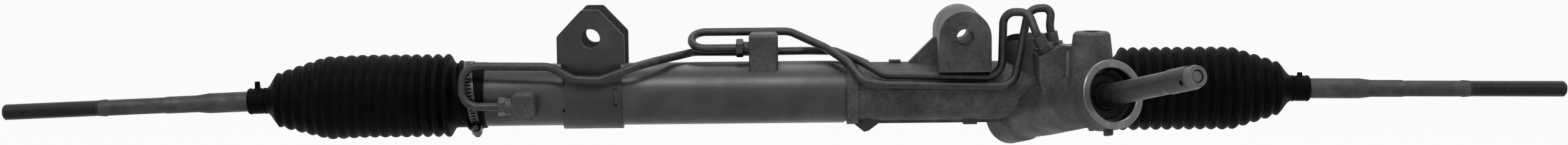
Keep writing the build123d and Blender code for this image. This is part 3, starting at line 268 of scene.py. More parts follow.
def bellows_rubber():
    """Near-black rubber with a faint bloom on its skin."""
    n = Nodes("bellows_rubber")
    bloom = n.noise(40.0, 6.0, 0.7, 0.3)
    skin = n.noise(1100.0, 3.0, 0.6)
    colour = n.ramp(bloom, [(0.3, grey(0.0010)), (0.55, grey(0.0018)), (0.8, grey(0.0042, 0.02))])
    return n.finish(colour, n.span(bloom, 0.42, 0.55), 0.0, n.bump(skin, 0.00006, 0.5), 0.03)


def seal_rubber(name="seal_rubber", share=0.5):
    """Dark seal with a mottled, greasy surface; made darker, it is also the painted shade inside the ring's bore.
    """
    n = Nodes(name)
    grease = n.noise(420.0, 6.0, 0.75, 0.6)
    levels = [(0.35, grey(0.004 * share)), (0.55, grey(0.012 * share)), (0.70, grey(0.06 * share, 0.03))]
    return n.finish(n.ramp(grease, levels), n.span(grease, 0.35, 0.6), 0.0, n.bump(grease, 0.0004, 0.6), 0.15)


def sintered_bronze():
    n = Nodes("sintered_bronze")
    grain = n.noise(1800.0, 4.0, 0.7)
    colour = n.ramp(grain, [(0.3, (0.22, 0.13, 0.05)), (0.7, (0.42, 0.27, 0.12))])
    return n.finish(colour, 0.5, 0.85, n.bump(grain, 0.00008, 0.5), 0.5)


def moulded_plastic(name, low, high):
    n = Nodes(name)
    cloud = n.noise(90.0, 4.0, 0.5)
    colour = n.ramp(cloud, [(0.3, low), (0.7, high)])
    return n.finish(colour, n.span(cloud, 0.45, 0.35), 0.0, n.bump(cloud, 0.00003, 0.4), 0.5)


MATERIALS = {
    "casting": cast_aluminium(),
    # casting made 2.4 times brighter: a painted highlight on the port block's rib
    "highlit_casting": cast_aluminium("highlit_casting", 2.4),
    "machined": machined_aluminium(),
    "tube_steel": drawn_tube(),
    "dark_steel": dark_steel(),
    "bright_steel": ground_steel(),
    "zinc_steel": zinc_steel(),
    "dark_zinc": zinc_steel("dark_zinc", 0.022),
    # lighter steel: a painted highlight on the ends of the input shaft and torsion bar
    "highlit_steel": dark_steel("highlit_steel", 0.11),
    # near black: painted shade inside the ring's bore
    "grease": seal_rubber("grease", 0.35),
    "black_steel": dark_steel("black_steel", 0.008),
    "bracket_steel": painted_bracket(),
    "rod_steel": forged_rod(),
    "thread": thread_steel(),
    "rubber": bellows_rubber(),
    "seal_rubber": seal_rubber(),
    "bronze": sintered_bronze(),
    "plastic": moulded_plastic("acetal", grey(0.55, 0.02), grey(0.68, 0.02)),
    "ptfe": moulded_plastic("filled_ptfe", grey(0.018), grey(0.035)),
}


NOSE_STATION = 129.0         # along the pinion's axis, mm: face of the input ring
RING_EDGE_DEPTH = 0.9        # how far the ring face's finish reaches down its edges
FACE_TOLERANCE = 0.2
BORE_SHADE_FROM = 60.0           # from here out the tower's bore is painted near black: painted shade
RING_RADIUS = 30.0           # just outside the input ring
MOUTH_RADIUS = 22.5          # just outside the ring's mouth
SHAFT_END_STATION = 241.5    # the last few millimetres of the input shaft are made lighter: a painted highlight
PORT_RIB_SIDES = (83.0, 86.0)    # X range round the rib on the port block, mm
PORT_RIB_FROM = -60.2            # Y range towards the viewer, from the block's front on
PORT_RIB_REACH = 4.0


def on_pinion_axis(point):
    """How far a point lies along the pinion's axis and away from it, mm."""
    away = point - PINION_POINT
    along = away.dot(PINION_AXIS)
    return along / MM, (away - PINION_AXIS * along).length / MM


def is_ring_face(point):
    along, radius = on_pinion_axis(point)
    on_edge = along > NOSE_STATION - RING_EDGE_DEPTH and MOUTH_RADIUS < radius
    on_face = along > NOSE_STATION - FACE_TOLERANCE and radius < RING_RADIUS
    return on_edge or on_face


def is_mouth_wall(point):
    along, radius = on_pinion_axis(point)
    return BORE_SHADE_FROM < along < NOSE_STATION - FACE_TOLERANCE and radius < MOUTH_RADIUS


def is_shaft_end(point):
    return on_pinion_axis(point)[0] > SHAFT_END_STATION


def is_port_rib(point):
    left, right = PORT_RIB_SIDES
    stands_out = PORT_RIB_FROM - PORT_RIB_REACH < point.y / MM < PORT_RIB_FROM
    return left < point.x / MM < right and stands_out


FACE_FINISHES = (
    # painted shade on the wall of the ring's deep bore
    ("gear_housing", "grease", is_mouth_wall),
    ("gear_housing", "machined", is_ring_face),
    # the rib stands out by a painted highlight
    ("gear_housing", "highlit_casting", is_port_rib),
    # painted highlight on the shaft's end
    ("input_shaft", "highlit_steel", is_shaft_end),
    ("torsion_bar", "highlit_steel", is_shaft_end),
)
ROUNDED_NODES = ("mount_bracket", "centre_port_block", "left_port_boss", "left_line_nut", "line_nuts")


def finish_faces(node, material, chosen):
    """Gives the faces whose middle is chosen a finish of their own."""
    node.data.materials.append(material)
    index = len(node.data.materials) - 1
    for polygon in node.data.polygons:
        if chosen(Vector(polygon.center)):
            polygon.material_index = index


WELD_DISTANCE = 0.002        # mm
EDGE_RADIUS = 0.5            # mm
SHARP_EDGE = radians(35)     # edges that turn by more than this are rounded
EDGE_SEGMENTS = 2


def soften_edges(node):
    """Small radius along a node's sharp edges, as pressing and machining leave them."""
    weld = node.modifiers.new("weld", "WELD")
    weld.merge_threshold = WELD_DISTANCE * MM
    bevel = node.modifiers.new("edge radius", "BEVEL")
    bevel.width = EDGE_RADIUS * MM
    bevel.segments = EDGE_SEGMENTS
    bevel.limit_method = "ANGLE"
    bevel.angle_limit = SHARP_EDGE
    bevel.harden_normals = True


def dress_cad_nodes():
    """Gives every carried-over CAD node the procedural material of its slot."""
    slots = {entry["node"]: entry["material_slot"] for entry in frame["record"]["subparts"]}
    for name, node in frame["nodes"].items():
        node.data.materials.clear()
        node.data.materials.append(MATERIALS[slots[name]])
    # The cross pin is made near black: painted shade of the hole it sits in.
    frame["nodes"]["cross_pin"].data.materials[0] = MATERIALS["black_steel"]
    for name, material, chosen in FACE_FINISHES:
        finish_faces(frame["nodes"][name], MATERIALS[material], chosen)
    for name in ROUNDED_NODES:
        soften_edges(frame["nodes"][name])


# ---------------------------------------------------------------- mesh helpers
def mesh_object(name, points, faces, material, smooth=True):
    """A new object from points in the part's frame and faces that index them."""
    mesh = bpy.data.meshes.new(name)
    mesh.from_pydata([tuple(point) for point in points], [], faces)
    mesh.update()
    item = bpy.data.objects.new(name, mesh)
    bpy.context.scene.collection.objects.link(item)
    mesh.materials.append(material)
    for polygon in mesh.polygons:
        polygon.use_smooth = smooth
    return item


def spin_grid(rows, turns, closed=True):
    """Faces of a grid of rows by turns, closed round the turn and, if closed, from last row to first."""
    faces = []
    for row in range(rows if closed else rows - 1):
        after = (row + 1) % rows
        for turn in range(turns):
            beside = (turn + 1) % turns
            this, other = row * turns, after * turns
            faces.append((this + turn, this + beside, other + beside, other + turn))
    return faces


def axis_frame(direction):
    """Two unit vectors square to a direction, the first one as near upright as it can be."""
    up = Vector((0, 0, 1))
    side = up.cross(direction).normalized()
    return direction.cross(side).normalized(), side


# ---------------------------------------------------------------- bellows
PLEATS = {"left": 17, "right": 15}
CREST_FIRST = {"left": -71.4, "right": -69.0}      # mm from the ball centre, positive outwards
CREST_LAST = {"left": 77.0, "right": 66.0}
BELLOWS_RADIUS = 36.1
BELLOWS_WALL = 1.8
TAPER_FROM = {"left": 33.0, "right": 25.0}
END_CREST_RADIUS = {"left": 23.5, "right": 23.3}
TAPER_POWER = 1.05
FOLD_DEPTH = {"left": 4.4, "right": 3.6}      # beside the housing
DEPTH_CHANGES = {            # from one station to another, and by how much the folds get deeper, mm
    "left": ((-62.0, -30.0, -2.3), (20.0, 60.0, 0.7)),
    "right": ((-40.0, 0.0, -0.4),),
}
FOLD_POWER = 0.8             # below 1 the crests are round and the folds between them sharp
LEAN_REACH = 25.0            # the centre line bends over this far on both sides of the ball
HOUSING_LEAVE = 6.0          # inboard of the first crest: start of the run listed from housing to rack
RACK_SPLIT = 30.0            # end of the neck piece and start of the middle piece, and of their listed runs
SEAT_SPLIT = 40.0            # end of the middle piece and start of the end piece, and of their listed runs
SWING_FROM = 68.0            # end of the run listed from the seat to the swinging body
NECK_RUN = {"left": 10.5, "right": 12.5}      # last crest to the small neck
FOLD_STEP = 0.62             # between the rings of points along the folds
SLEEVE_STEP = 0.6


def blend_between(low, high, value):
    """Smooth 0 to 1 as value goes from low to high."""
    share = min(1.0, max(0.0, (value - low) / (high - low)))
    return share * share * (3 - 2 * share)


def crest_radius(side, station):
    """Radius of the envelope over the crests."""
    share = max(0.0, (station - TAPER_FROM[side]) / (CREST_LAST[side] - TAPER_FROM[side]))
    return BELLOWS_RADIUS - (BELLOWS_RADIUS - END_CREST_RADIUS[side]) * share**TAPER_POWER


def crest_depth(side, station):
    """Depth of the folds: deep by the housing, stretched shallow in the middle."""
    depth = FOLD_DEPTH[side]
    for low, high, change in DEPTH_CHANGES[side]:
        depth += change * blend_between(low, high, station)
    return depth


def pleat_radius(side, station):
    """Outer radius of the bellows: round crests with sharper folds between them."""
    pitch = (CREST_LAST[side] - CREST_FIRST[side]) / (PLEATS[side] - 1)
    phase = (station - CREST_FIRST[side]) / pitch
    swell = abs(cos(pi * phase)) ** FOLD_POWER
    return crest_radius(side, station) - crest_depth(side, station) * (1 - swell)


def bellows_centre(side, station):
    """Centre line of a bellows: along the rack, then bending down to the tie rod."""
    along_rack = Vector((OUTWARD[side], 0, 0))
    lean = blend_between(-LEAN_REACH, LEAN_REACH, station)
    direction = along_rack.lerp(ROD_AXIS[side], lean).normalized()
    return BALL[side] + direction * station * MM, direction


def hoop(side, station, radius, turns):
    """A ring of points round the bellows' centre line; level is 1 at the top and -1 below.

    radius(level) gives the radius in mm.
    """
    centre, direction = bellows_centre(side, station)
    up, across = axis_frame(direction)
    ring = []
    for step in range(turns):
        turn = 2 * pi * step / turns
        ring.append(centre + (up * cos(turn) + across * sin(turn)) * radius(cos(turn)) * MM)
    return ring


def shell_piece(name, side, stations, outer, wall, material, turns=96):
    """Closed thin shell round the bellows' axis: outer(station, level) is its outer radius in mm."""
    rings = [hoop(side, station, lambda level: outer(station, level), turns) for station in stations]
    rings += [
        hoop(side, station, lambda level: outer(station, level) - wall, turns)
        for station in reversed(stations)
    ]
    points = [point for ring in rings for point in ring]
    return mesh_object(name, points, spin_grid(len(rings), turns), material)


def spread(low, high, step):
    """Evenly spaced stations from low to high, about a step apart."""
    count = max(1, round((high - low) / step))
    return [low + (high - low) * index / count for index in range(count + 1)]


NECK_RADIUS = 28.7
NECK_DIP = 0.8               # the neck is lower between its bead and the first pleat
BEAD_HEIGHT = 2.0            # of the rubber squeezed up beside the clamp
BEAD_HALF = 3.2
SMALL_NECK_RADIUS = 11.05
SLEEVE_WALL = 2.2
SHOULDER_FROM, SHOULDER_TO = 8.5, 0.5     # inboard of the first crest: rise from the neck
SHOULDER_POWER = 1.6
FALL_FROM = 2.0              # inboard of the last crest: fall to the small neck
FALL_POWER = 1.2
GROOVE_HALF = 4.8            # of the small clamp's groove in the sleeve
GROOVE_EDGE = 6.0            # the groove's sides reach this far
GROOVE_DEPTH = 0.45
SLEEVE_LIFT = 0.35           # the sleeve stands this much over the end of the folds
LIP_RUN = 1.4                # rounding at the sleeve's outer end
LIP_DEPTH = 0.9
CLAMP_SEAT_RADIUS = 28.9
CLAMP_WIDTH = 7.6
CLAMP_SHIFT = 1.2            # outwards from the middle of the CAD clamp
CLAMP_SKEW = 0.13            # mm outwards for each mm upwards


def far_station(side, node):
    """The furthest that a node reaches outwards from the ball centre, mm."""
    return max(OUTWARD[side] * (corner.x - BALL[side].x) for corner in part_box(node)) / MM


def near_station(side, node):
    """The nearest that a node reaches, mm from the ball centre and positive outwards."""
    return min(OUTWARD[side] * (corner.x - BALL[side].x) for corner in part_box(node)) / MM


def middle_station(side, node):
    """Middle of a node, mm from the ball centre."""
    return (near_station(side, node) + far_station(side, node)) / 2


CLAMP_MIDDLE = {side: middle_station(side, f"{side}_boot_clamp") + CLAMP_SHIFT for side in ("left", "right")}
SMALL_CLAMP_MIDDLE = {side: middle_station(side, f"{side}_boot_small_clamp") for side in ("left", "right")}


def clamp_station(side, level):
    """Middle of the worm clamp, which sits a little askew on the neck."""
    return CLAMP_MIDDLE[side] + CLAMP_SEAT_RADIUS * level * CLAMP_SKEW


def boot_outer_radius(side, station, level=0.0):
    """Outer radius from the neck on the housing, over the pleats, to the small neck on the rod."""
    first, last = CREST_FIRST[side], CREST_LAST[side]
    if station < first:
        bead = clamp_station(side, level) + CLAMP_WIDTH / 2 + BEAD_HALF
        swell = blend_between(bead - BEAD_HALF, bead, station)
        swell *= blend_between(-bead - BEAD_HALF, -bead, -station)
        dip = NECK_DIP * blend_between(bead, bead + BEAD_HALF, station)
        shoulder = NECK_RADIUS - dip + BEAD_HEIGHT * swell
        rise = blend_between(first - SHOULDER_FROM, first - SHOULDER_TO, station)
        return shoulder + (pleat_radius(side, first) - shoulder) * rise**SHOULDER_POWER
    if station > last:
        fold = pleat_radius(side, last)
        fall = 1 - blend_between(last - FALL_FROM, last + NECK_RUN[side], station)
        return SMALL_NECK_RADIUS + (fold - SMALL_NECK_RADIUS) * fall**FALL_POWER
    return pleat_radius(side, station)


def bellows(side):
    """Pleated bellows in three pieces, and a sleeve round the rod that rides on the swinging body."""
    start = near_station(side, f"{side}_boot_inner")
    neck = CREST_LAST[side] + NECK_RUN[side]
    rubber = MATERIALS["rubber"]
    ball_seat, swing = f"{side}_seat", f"{side}_swing"
    # label, reach of the piece, the two bodies it joins, and the run over which it passes between them
    spans = (
        ("neck_folds", start, RACK_SPLIT, "housing", "rack", CREST_FIRST[side] - HOUSING_LEAVE, RACK_SPLIT),
        ("middle_folds", RACK_SPLIT, SEAT_SPLIT, "rack", ball_seat, RACK_SPLIT, SEAT_SPLIT),
        ("end_folds", SEAT_SPLIT, neck, ball_seat, swing, SEAT_SPLIT, SWING_FROM),
    )
    for label, low_station, high_station, first_body, second_body, leave, arrive in spans:
        stations = spread(low_station, high_station, FOLD_STEP)
        piece = shell_piece(
            f"{side}_bellows_{label}", side, stations, lambda s, level: boot_outer_radius(side, s, level),
            BELLOWS_WALL, rubber
        )
        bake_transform(piece)
    tip = far_station(side, f"{side}_boot_outer")
    stations = spread(neck, tip, SLEEVE_STEP)
    sleeve = shell_piece(
        f"{side}_bellows_sleeve", side, stations, lambda s, level: sleeve_radius(side, s, tip),
        SLEEVE_WALL, rubber
    )
    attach(sleeve, f"{side}_swing")
    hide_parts(f"{side}_boot_inner")
    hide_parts(f"{side}_boot_outer")


def sleeve_radius(side, station, tip):
    """Small neck: a groove for its clamp between two soft beads."""
    clamp = SMALL_CLAMP_MIDDLE[side]
    groove = blend_between(clamp - GROOVE_EDGE, clamp - GROOVE_HALF, station)
    groove -= blend_between(clamp + GROOVE_HALF, clamp + GROOVE_EDGE, station)
    lip = blend_between(tip - LIP_RUN, tip, station)
    return boot_outer_radius(side, station) + SLEEVE_LIFT - GROOVE_DEPTH * groove - LIP_DEPTH * lip


# ---------------------------------------------------------------- tie rods
THREAD_PITCH = 1.5
THREAD_DEPTH = 0.85
THREAD_RUN_IN = 3.0          # over which the thread gets its full depth
THREAD_FLANK = 1.25          # above 1 the thread's roots are flat
THREAD_SPAN = (232.0, 316.3)
THREAD_FINISH_LEAD = 1       # the thread's finish starts this much before it
ROD_STEP = 0.25              # between the rings of points along the thread
FLAT_STEP = 0.5              # and along the run-outs of the flats
ROD_TURNS = 40
ROD_OUTLINE = (              # station out from the ball centre and radius, mm
    (4.0, 5.8), (13.0, 5.8), (25.0, 8.7), (137.0, 8.7), (147.0, 7.4), (230.0, 7.4),
    (232.0, 7.0), (314.3, 7.0), (316.3, 5.0),
)
ROD_FLATS = (176.0, 224.0)
ROD_FLAT_HALF = 6.6
FLAT_RUN_OUT = 4             # at both ends of the flats
FLAT_LIFT = 1.5              # rise of the flats over their run-out
FLAT_COSINE = 0.2            # keeps the radius finite where a flat would run edge on
BALL_RADIUS = 11.5
BALL_STEPS = 24              # from pole to pole
BALL_STEPS_USED = 21         # the neck takes the place of the others
BALL_END = 10.5              # stations below this one are on the ball
POLE_RADIUS = 0.02           # of the ring at the ball's end


def rod_radius(station):
    """Radius of the bare rod, mm, at a station out from the ball centre."""
    for (low, first), (high, second) in zip(ROD_OUTLINE, ROD_OUTLINE[1:]):
        if station <= high:
            return first + (second - first) * max(0.0, (station - low) / (high - low))
    return ROD_OUTLINE[-1][1]


def rod_surface(station, turn):
    """Radius at a station and an angle: spanner flats and a helical thread cut into the round rod."""
    radius = rod_radius(station)
    if ROD_FLATS[0] - FLAT_RUN_OUT < station < ROD_FLATS[1] + FLAT_RUN_OUT:
        run_out = blend_between(ROD_FLATS[0] - FLAT_RUN_OUT, ROD_FLATS[0], station)
        run_out *= 1 - blend_between(ROD_FLATS[1], ROD_FLATS[1] + FLAT_RUN_OUT, station)
        half = ROD_FLAT_HALF + (1 - run_out) * FLAT_LIFT
        radius = min(radius, half / max(FLAT_COSINE, abs(cos(turn))))
    if THREAD_SPAN[0] < station:
        phase = (station / THREAD_PITCH - turn / (2 * pi)) % 1.0
        tooth = abs(2 * phase - 1)
        depth = THREAD_DEPTH * blend_between(THREAD_SPAN[0], THREAD_SPAN[0] + THREAD_RUN_IN, station)
        radius -= depth * min(1.0, THREAD_FLANK * (1 - tooth))
    return radius


def rod_stations():
    """Stations along a rod: ball, neck and body by shape, then close together along the thread."""
    ball = [-BALL_RADIUS * cos(pi * step / BALL_STEPS) for step in range(BALL_STEPS_USED)]
    neck = [13.0, 16.0, 19.0, 22.0, 25.0, 60.0, 100.0, 137.0, 142.0, 147.0, 168.0]
    flats = spread(ROD_FLATS[0] - FLAT_RUN_OUT, ROD_FLATS[0], FLAT_STEP)
    flats += spread(ROD_FLATS[1], ROD_FLATS[1] + FLAT_RUN_OUT, FLAT_STEP)
    return ball + neck + flats + spread(THREAD_SPAN[0], THREAD_SPAN[1], ROD_STEP)


def tie_rod(side):
    """Rod with its ball, in one mesh: forged body and a thread in their own materials."""
    turns = ROD_TURNS
    direction = ROD_AXIS[side]
    up, across = axis_frame(direction)
    stations = rod_stations()
    points = []
    for station in stations:
        on_ball = sqrt(max(0.0, BALL_RADIUS**2 - station**2)) if station < BALL_END else 0.0
        for step in range(turns):
            turn = 2 * pi * step / turns
            radius = max(on_ball, POLE_RADIUS) if station < BALL_END else rod_surface(station, turn)
            radial = up * cos(turn) + across * sin(turn)
            points.append(BALL[side] + (direction * station + radial * radius) * MM)
    faces = spin_grid(len(stations), turns, closed=False)
    faces.append(tuple(range(turns)))
    last = (len(stations) - 1) * turns
    faces.append(tuple(range(last + turns - 1, last - 1, -1)))
    rod = mesh_object(f"{side}_tie_rod_forging", points, faces, MATERIALS["rod_steel"])
    rod.data.materials.append(MATERIALS["thread"])
    for polygon in rod.data.polygons:
        station = (Vector(polygon.center) - BALL[side]).dot(direction) / MM
        if station > THREAD_SPAN[0] - THREAD_FINISH_LEAD:
            polygon.material_index = 1
    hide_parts(f"{side}_tie_rod")
    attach(rod, f"{side}_rod")


# ---------------------------------------------------------------- clamps
CLAMP_BAND = 0.8
CLAMP_SLOTS = 60
SLOT_SHARE = 0.42
SLOT_HALF = 1.9
SLOT_SLANT = 0.12            # in slot pitches, each way
SCREW_ANGLE = radians(150)   # from the top towards the viewer, as in the CAD model
SCREW_AXIS_RADIUS = 32.6


def band_point(side, turn, radius, beside=0.0):
    """A point round the rack's axis, beside the clamp's middle; the angle runs from the top to the viewer."""
    station = clamp_station(side, cos(turn)) + beside
    centre = BALL[side] + Vector((OUTWARD[side] * station, 0, 0)) * MM
    return centre + Vector((0, -sin(turn), cos(turn))) * radius * MM


def thick_band(name, points, faces, material, thickness, offset):
    """Sheet metal band from a grid of points, given its thickness."""
    band = mesh_object(name, points, faces, material, smooth=False)
    sheet = band.modifiers.new("sheet", "SOLIDIFY")
    sheet.thickness = thickness * MM
    sheet.offset = offset
    return band


def worm_clamp(side):
    """Worm-drive clamp: a perforated band with its screw and the screw's housing."""
    rows = (-CLAMP_WIDTH / 2, -SLOT_HALF, SLOT_HALF, CLAMP_WIDTH / 2)
    turns = []
    for slot in range(CLAMP_SLOTS):
        turns += [2 * pi * slot / CLAMP_SLOTS, 2 * pi * (slot + SLOT_SHARE) / CLAMP_SLOTS]
    count = len(turns)
    slant = (0.0, -SLOT_SLANT, SLOT_SLANT, 0.0)
    radius = CLAMP_SEAT_RADIUS + CLAMP_BAND / 2
    points = []
    for beside, lean in zip(rows, slant):
        lean *= 2 * pi / CLAMP_SLOTS
        points += [band_point(side, turn + lean, radius, beside) for turn in turns]
    grid = spin_grid(len(rows), count, closed=False)
    slots = set(range(count, 2 * count, 2))      # every other face of the middle row
    faces = [face for index, face in enumerate(grid) if index not in slots]
    band = thick_band(f"{side}_clamp_band", points, faces, MATERIALS["zinc_steel"], CLAMP_BAND, 0.0)
    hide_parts(f"{side}_boot_clamp")
    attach(band, "housing")
    for piece in (screw_housing(side), worm_screw(side)):
        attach(piece, "housing")


def screw_frame(side):
    """Where the worm screw sits: its middle, the direction out of the band and the one along the screw."""
    out = Vector((0, -sin(SCREW_ANGLE), cos(SCREW_ANGLE)))
    along = Vector((0, cos(SCREW_ANGLE), sin(SCREW_ANGLE))) * -1
    return band_point(side, SCREW_ANGLE, SCREW_AXIS_RADIUS), out, along


HOUSING_HALF = 3.9           # half width of the screw's housing
HOUSING_ARCH = 3.3           # its height over the screw's axis
HOUSING_SPRING = 0.4         # where the arch starts
HOUSING_GAP = 0.5            # between its feet and the band
FOOT_SPREAD, FOOT_HEIGHT = 0.2, 0.6
ARCH_STEPS = 10
HOUSING_ROWS = ((-5.0, 0.94), (-4.4, 1.0), (4.4, 1.0), (5.0, 0.94))     # along the screw, and size there
HOUSING_SHEET = 0.7


def screw_housing(side):
    """Pressed housing: a sheet arched over the screw, with feet spread on the band."""
    middle, out, along = screw_frame(side)
    across = out.cross(along)
    half = HOUSING_HALF
    foot = -SCREW_AXIS_RADIUS + CLAMP_SEAT_RADIUS + CLAMP_BAND + HOUSING_GAP
    outline = [(-half - FOOT_SPREAD, foot), (-half, foot + FOOT_HEIGHT), (-half, HOUSING_SPRING)]
    for step in range(1, ARCH_STEPS):
        turn = pi * step / ARCH_STEPS
        outline.append((-half * cos(turn), HOUSING_SPRING + (HOUSING_ARCH - HOUSING_SPRING) * sin(turn)))
    outline += [(half, HOUSING_SPRING), (half, foot + FOOT_HEIGHT), (half + FOOT_SPREAD, foot)]
    points = []
    for place, shrink in HOUSING_ROWS:
        for wide, high in outline:
            offset = along * place + across * wide * shrink + out * high * shrink
            points.append(middle + offset * MM)
    count = len(outline)
    faces = [
        (row * count + step, row * count + step + 1, (row + 1) * count + step + 1, (row + 1) * count + step)
        for row in range(len(HOUSING_ROWS) - 1) for step in range(count - 1)
    ]
    return thick_band(f"{side}_clamp_housing", points, faces, MATERIALS["dark_zinc"], HOUSING_SHEET, -1.0)


SCREW_TURNS = 36
SCREW_TIP = ((-6.0, 0.02), (-6.0, 2.2))                             # along the screw and radius, mm
SCREW_WASHER = ((5.6, 3.0), (5.6, 3.9), (6.3, 3.9), (6.5, 3.4))
WORM_START, WORM_STEP, WORM_STEPS = -5.6, 0.5, 22
WORM_RADIUS, WORM_DEPTH = 2.7, 0.5
HEAD_HALF_FLATS = 3.0
SCREW_HEAD = (               # along the screw, and share of the hexagon's size; the last three are its recess
    (6.6, 1.0), (9.6, 1.0), (10.1, 0.90), (10.1, 0.42), (9.2, 0.40), (9.2, 0.004),
)


def worm_screw(side):
    """Screw with a worm thread, a washer face and a hexagon head with a recess in its end."""
    middle, out, along = screw_frame(side)
    across = out.cross(along)
    turns = SCREW_TURNS
    profile = list(SCREW_TIP)
    for step in range(WORM_STEPS):
        profile.append((WORM_START + WORM_STEP * step, WORM_RADIUS - WORM_DEPTH * (step % 2)))
    profile += SCREW_WASHER
    points = []
    for place, radius in profile:
        for step in range(turns):
            turn = 2 * pi * step / turns
            points.append(middle + (along * place + (out * cos(turn) + across * sin(turn)) * radius) * MM)
    for place, share in SCREW_HEAD:
        for step in range(turns):
            turn = 2 * pi * step / turns
            corner = (turn + pi / 6) % (pi / 3) - pi / 6
            radius = HEAD_HALF_FLATS / cos(corner) * share
            points.append(middle + (along * place + (out * cos(turn) + across * sin(turn)) * radius) * MM)
    faces = spin_grid(len(profile) + len(SCREW_HEAD), turns, closed=False)
    return mesh_object(f"{side}_clamp_screw", points, faces, MATERIALS["dark_zinc"], smooth=False)


EAR_HEIGHT = {"left": 6.0, "right": 2.8}
EAR_HALF_WIDTH = 1.9
EAR_HALF_ANGLE = 0.20        # radians
EAR_BAND = 0.8
EAR_BAND_HALF = 3.4
EAR_EDGE = 0.3               # between the ear and the plain band
EAR_GAP = 0.1                # between the neck and the band
EAR_PINCH = 0.35             # share by which the ear is narrower at its top
EAR_RISE = 0.4               # share of the ear's angle over which it rises
EAR_TURNS = 120


def ear_clamp(side):
    """Pinched one-ear clamp on the small neck: a band whose outline rises into a narrow ear."""
    middle = SMALL_CLAMP_MIDDLE[side]
    seat = SMALL_NECK_RADIUS + EAR_GAP
    turns = EAR_TURNS
    direction = ROD_AXIS[side]
    up, across = axis_frame(direction)
    half, edge = EAR_HALF_WIDTH, EAR_HALF_WIDTH + EAR_EDGE
    rows = (-EAR_BAND_HALF, -edge, -half, half, edge, EAR_BAND_HALF)
    points = []
    for row in rows:
        for step in range(turns):
            turn = 2 * pi * (step + 0.5) / turns
            away = min(turn, 2 * pi - turn)
            ear = 0.0
            if abs(row) <= half:
                ear = blend_between(0.0, EAR_HALF_ANGLE * EAR_RISE, EAR_HALF_ANGLE - away)
            radial = up * cos(turn) + across * sin(turn) * (1 - EAR_PINCH * ear)
            offset = direction * (middle + row) + radial * (seat + EAR_HEIGHT[side] * ear)
            points.append(BALL[side] + offset * MM)
    faces = spin_grid(len(rows), turns, closed=False)
    # The band has a matte black coating, as dark as the bellows.
    band = thick_band(f"{side}_ear_clamp", points, faces, MATERIALS["rubber"], EAR_BAND, 1.0)
    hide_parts(f"{side}_boot_small_clamp")
    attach(band, f"{side}_swing")


# ---------------------------------------------------------------- camera, light and floor
CAMERA_DISTANCE = 2.060      # metres from the middle of the rack
CAMERA_ELEVATION = radians(6.5)
CAMERA_ROLL = radians(0.57)
PHOTO_WIDTH = 2576           # pixels
FOCAL_PIXELS = 3900.0        # focal length in the photo's pixels
SENSOR = 36.0
CLIP_END = 60.0              # metres
AXIS_BELOW_CENTRE = 32.3     # pixels from the photo's centre down to the rack axis
RACK_MIDDLE_X = (BALL["left"].x + BALL["right"].x) / 2
WORLD_STRENGTH = 0.38
FLOOR_SIZE = 60.0            # metres
FLOOR_DROP = 0.35            # below the part
FLOOR_GREY = 0.80
FLOOR_GLOW = 0.94            # share of plain white in what the camera sees of the floor
LIGHT_TARGET = (-0.15, 0, -0.05)
LIGHTS = (                   # name, place, size in metres and watts
    ("key", (-0.6, -1.6, 1.9), (2.6, 0.8), 46.0),
    ("top", (0.2, 0.3, 1.6), (2.4, 0.8), 16.0),
)


def add_camera():
    """Camera at the photograph's viewing angle."""
    data = bpy.data.cameras.new("camera")
    data.sensor_width = SENSOR
    data.lens = SENSOR * FOCAL_PIXELS / PHOTO_WIDTH
    data.clip_end = CLIP_END
    camera = bpy.data.objects.new("camera", data)
    bpy.context.scene.collection.objects.link(camera)
    back = Vector((0, -cos(CAMERA_ELEVATION), sin(CAMERA_ELEVATION)))
    place = Vector((RACK_MIDDLE_X, 0, RACK_Z)) + back * CAMERA_DISTANCE
    tilt = CAMERA_ELEVATION - atan2(AXIS_BELOW_CENTRE, FOCAL_PIXELS)
    turn = Matrix.Rotation(pi / 2 - tilt, 4, "X") @ Matrix.Rotation(-CAMERA_ROLL, 4, "Z")
    camera.matrix_world = Matrix.Translation(place) @ turn
    bpy.context.scene.camera = camera


def area_light(name, place, target, size, power):
    data = bpy.data.lights.new(name, "AREA")
    data.shape = "RECTANGLE"
    data.size, data.size_y = size
    data.energy = power
    light = bpy.data.objects.new(name, data)
    bpy.context.scene.collection.objects.link(light)
    place, target = Vector(place), Vector(target)
    aim = (target - place).to_track_quat("-Z", "Y").to_matrix().to_4x4()
    light.matrix_world = Matrix.Translation(place) @ aim


def seen_directly(tree):
    """1 for what the camera, a mirror-like surface or glass sees, and 0 for light that falls on the part."""
    path = tree.nodes.new("ShaderNodeLightPath")
    total = path.outputs["Is Camera Ray"]
    for output in ("Is Glossy Ray", "Is Transmission Ray"):
        larger = tree.nodes.new("ShaderNodeMath")
        larger.operation = "MAXIMUM"
        tree.links.new(total, larger.inputs[0])
        tree.links.new(path.outputs[output], larger.inputs[1])
        total = larger.outputs["Value"]
    return total


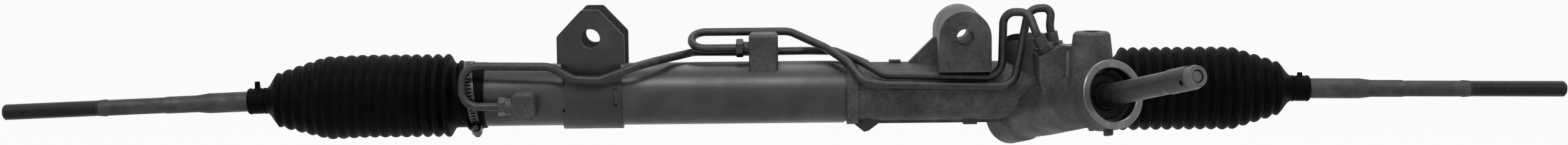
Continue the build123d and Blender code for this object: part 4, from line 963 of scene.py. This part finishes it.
def add_white_world(strength):
    """World that lights softly and looks plain white."""
    world = bpy.data.worlds.new("world")
    bpy.context.scene.world = world
    world.use_nodes = True
    tree = world.node_tree
    light = tree.nodes["Background"]
    light.inputs["Color"].default_value = (1.0, 1.0, 1.0, 1.0)
    light.inputs["Strength"].default_value = strength
    white = tree.nodes.new("ShaderNodeBackground")
    white.inputs["Color"].default_value = (1.0, 1.0, 1.0, 1.0)
    white.inputs["Strength"].default_value = 1.0
    mix = tree.nodes.new("ShaderNodeMixShader")
    tree.links.new(seen_directly(tree), mix.inputs["Fac"])
    tree.links.new(light.outputs["Background"], mix.inputs[1])
    tree.links.new(white.outputs["Background"], mix.inputs[2])
    tree.links.new(mix.outputs["Shader"], tree.nodes["World Output"].inputs["Surface"])


def floor_white():
    """Matt pale floor that looks almost plain white and still takes the part's soft shadow."""
    material = bpy.data.materials.new("floor_white")
    material.use_nodes = True
    tree = material.node_tree
    matt = tree.nodes["Principled BSDF"]
    matt.inputs["Base Color"].default_value = (*grey(FLOOR_GREY), 1.0)
    matt.inputs["Roughness"].default_value = 0.9
    matt.inputs["Specular IOR Level"].default_value = 0.0
    glow = tree.nodes.new("ShaderNodeEmission")
    glow.inputs["Strength"].default_value = 1.0
    share = tree.nodes.new("ShaderNodeMath")
    share.operation = "MULTIPLY"
    share.inputs[1].default_value = FLOOR_GLOW
    mix = tree.nodes.new("ShaderNodeMixShader")
    tree.links.new(seen_directly(tree), share.inputs[0])
    tree.links.new(share.outputs["Value"], mix.inputs["Fac"])
    tree.links.new(matt.outputs["BSDF"], mix.inputs[1])
    tree.links.new(glow.outputs["Emission"], mix.inputs[2])
    tree.links.new(mix.outputs["Shader"], tree.nodes["Material Output"].inputs["Surface"])
    return material


def add_stage():
    """Pale floor below the part, white world and soft lights."""
    add_white_world(WORLD_STRENGTH)
    floor_z = cad_box[0][2] - FLOOR_DROP
    bpy.ops.mesh.primitive_plane_add(size=FLOOR_SIZE, location=(0, 0, floor_z))
    floor = bpy.context.object
    floor.name = "floor"
    floor.data.materials.append(floor_white())
    for name, place, size, power in LIGHTS:
        area_light(name, place, LIGHT_TARGET, size, power)
    bpy.context.scene.view_settings.view_transform = "Standard"


dress_cad_nodes()
for side_name in ("left", "right"):
    bellows(side_name)
    tie_rod(side_name)
    worm_clamp(side_name)
    ear_clamp(side_name)
add_camera()
add_stage()
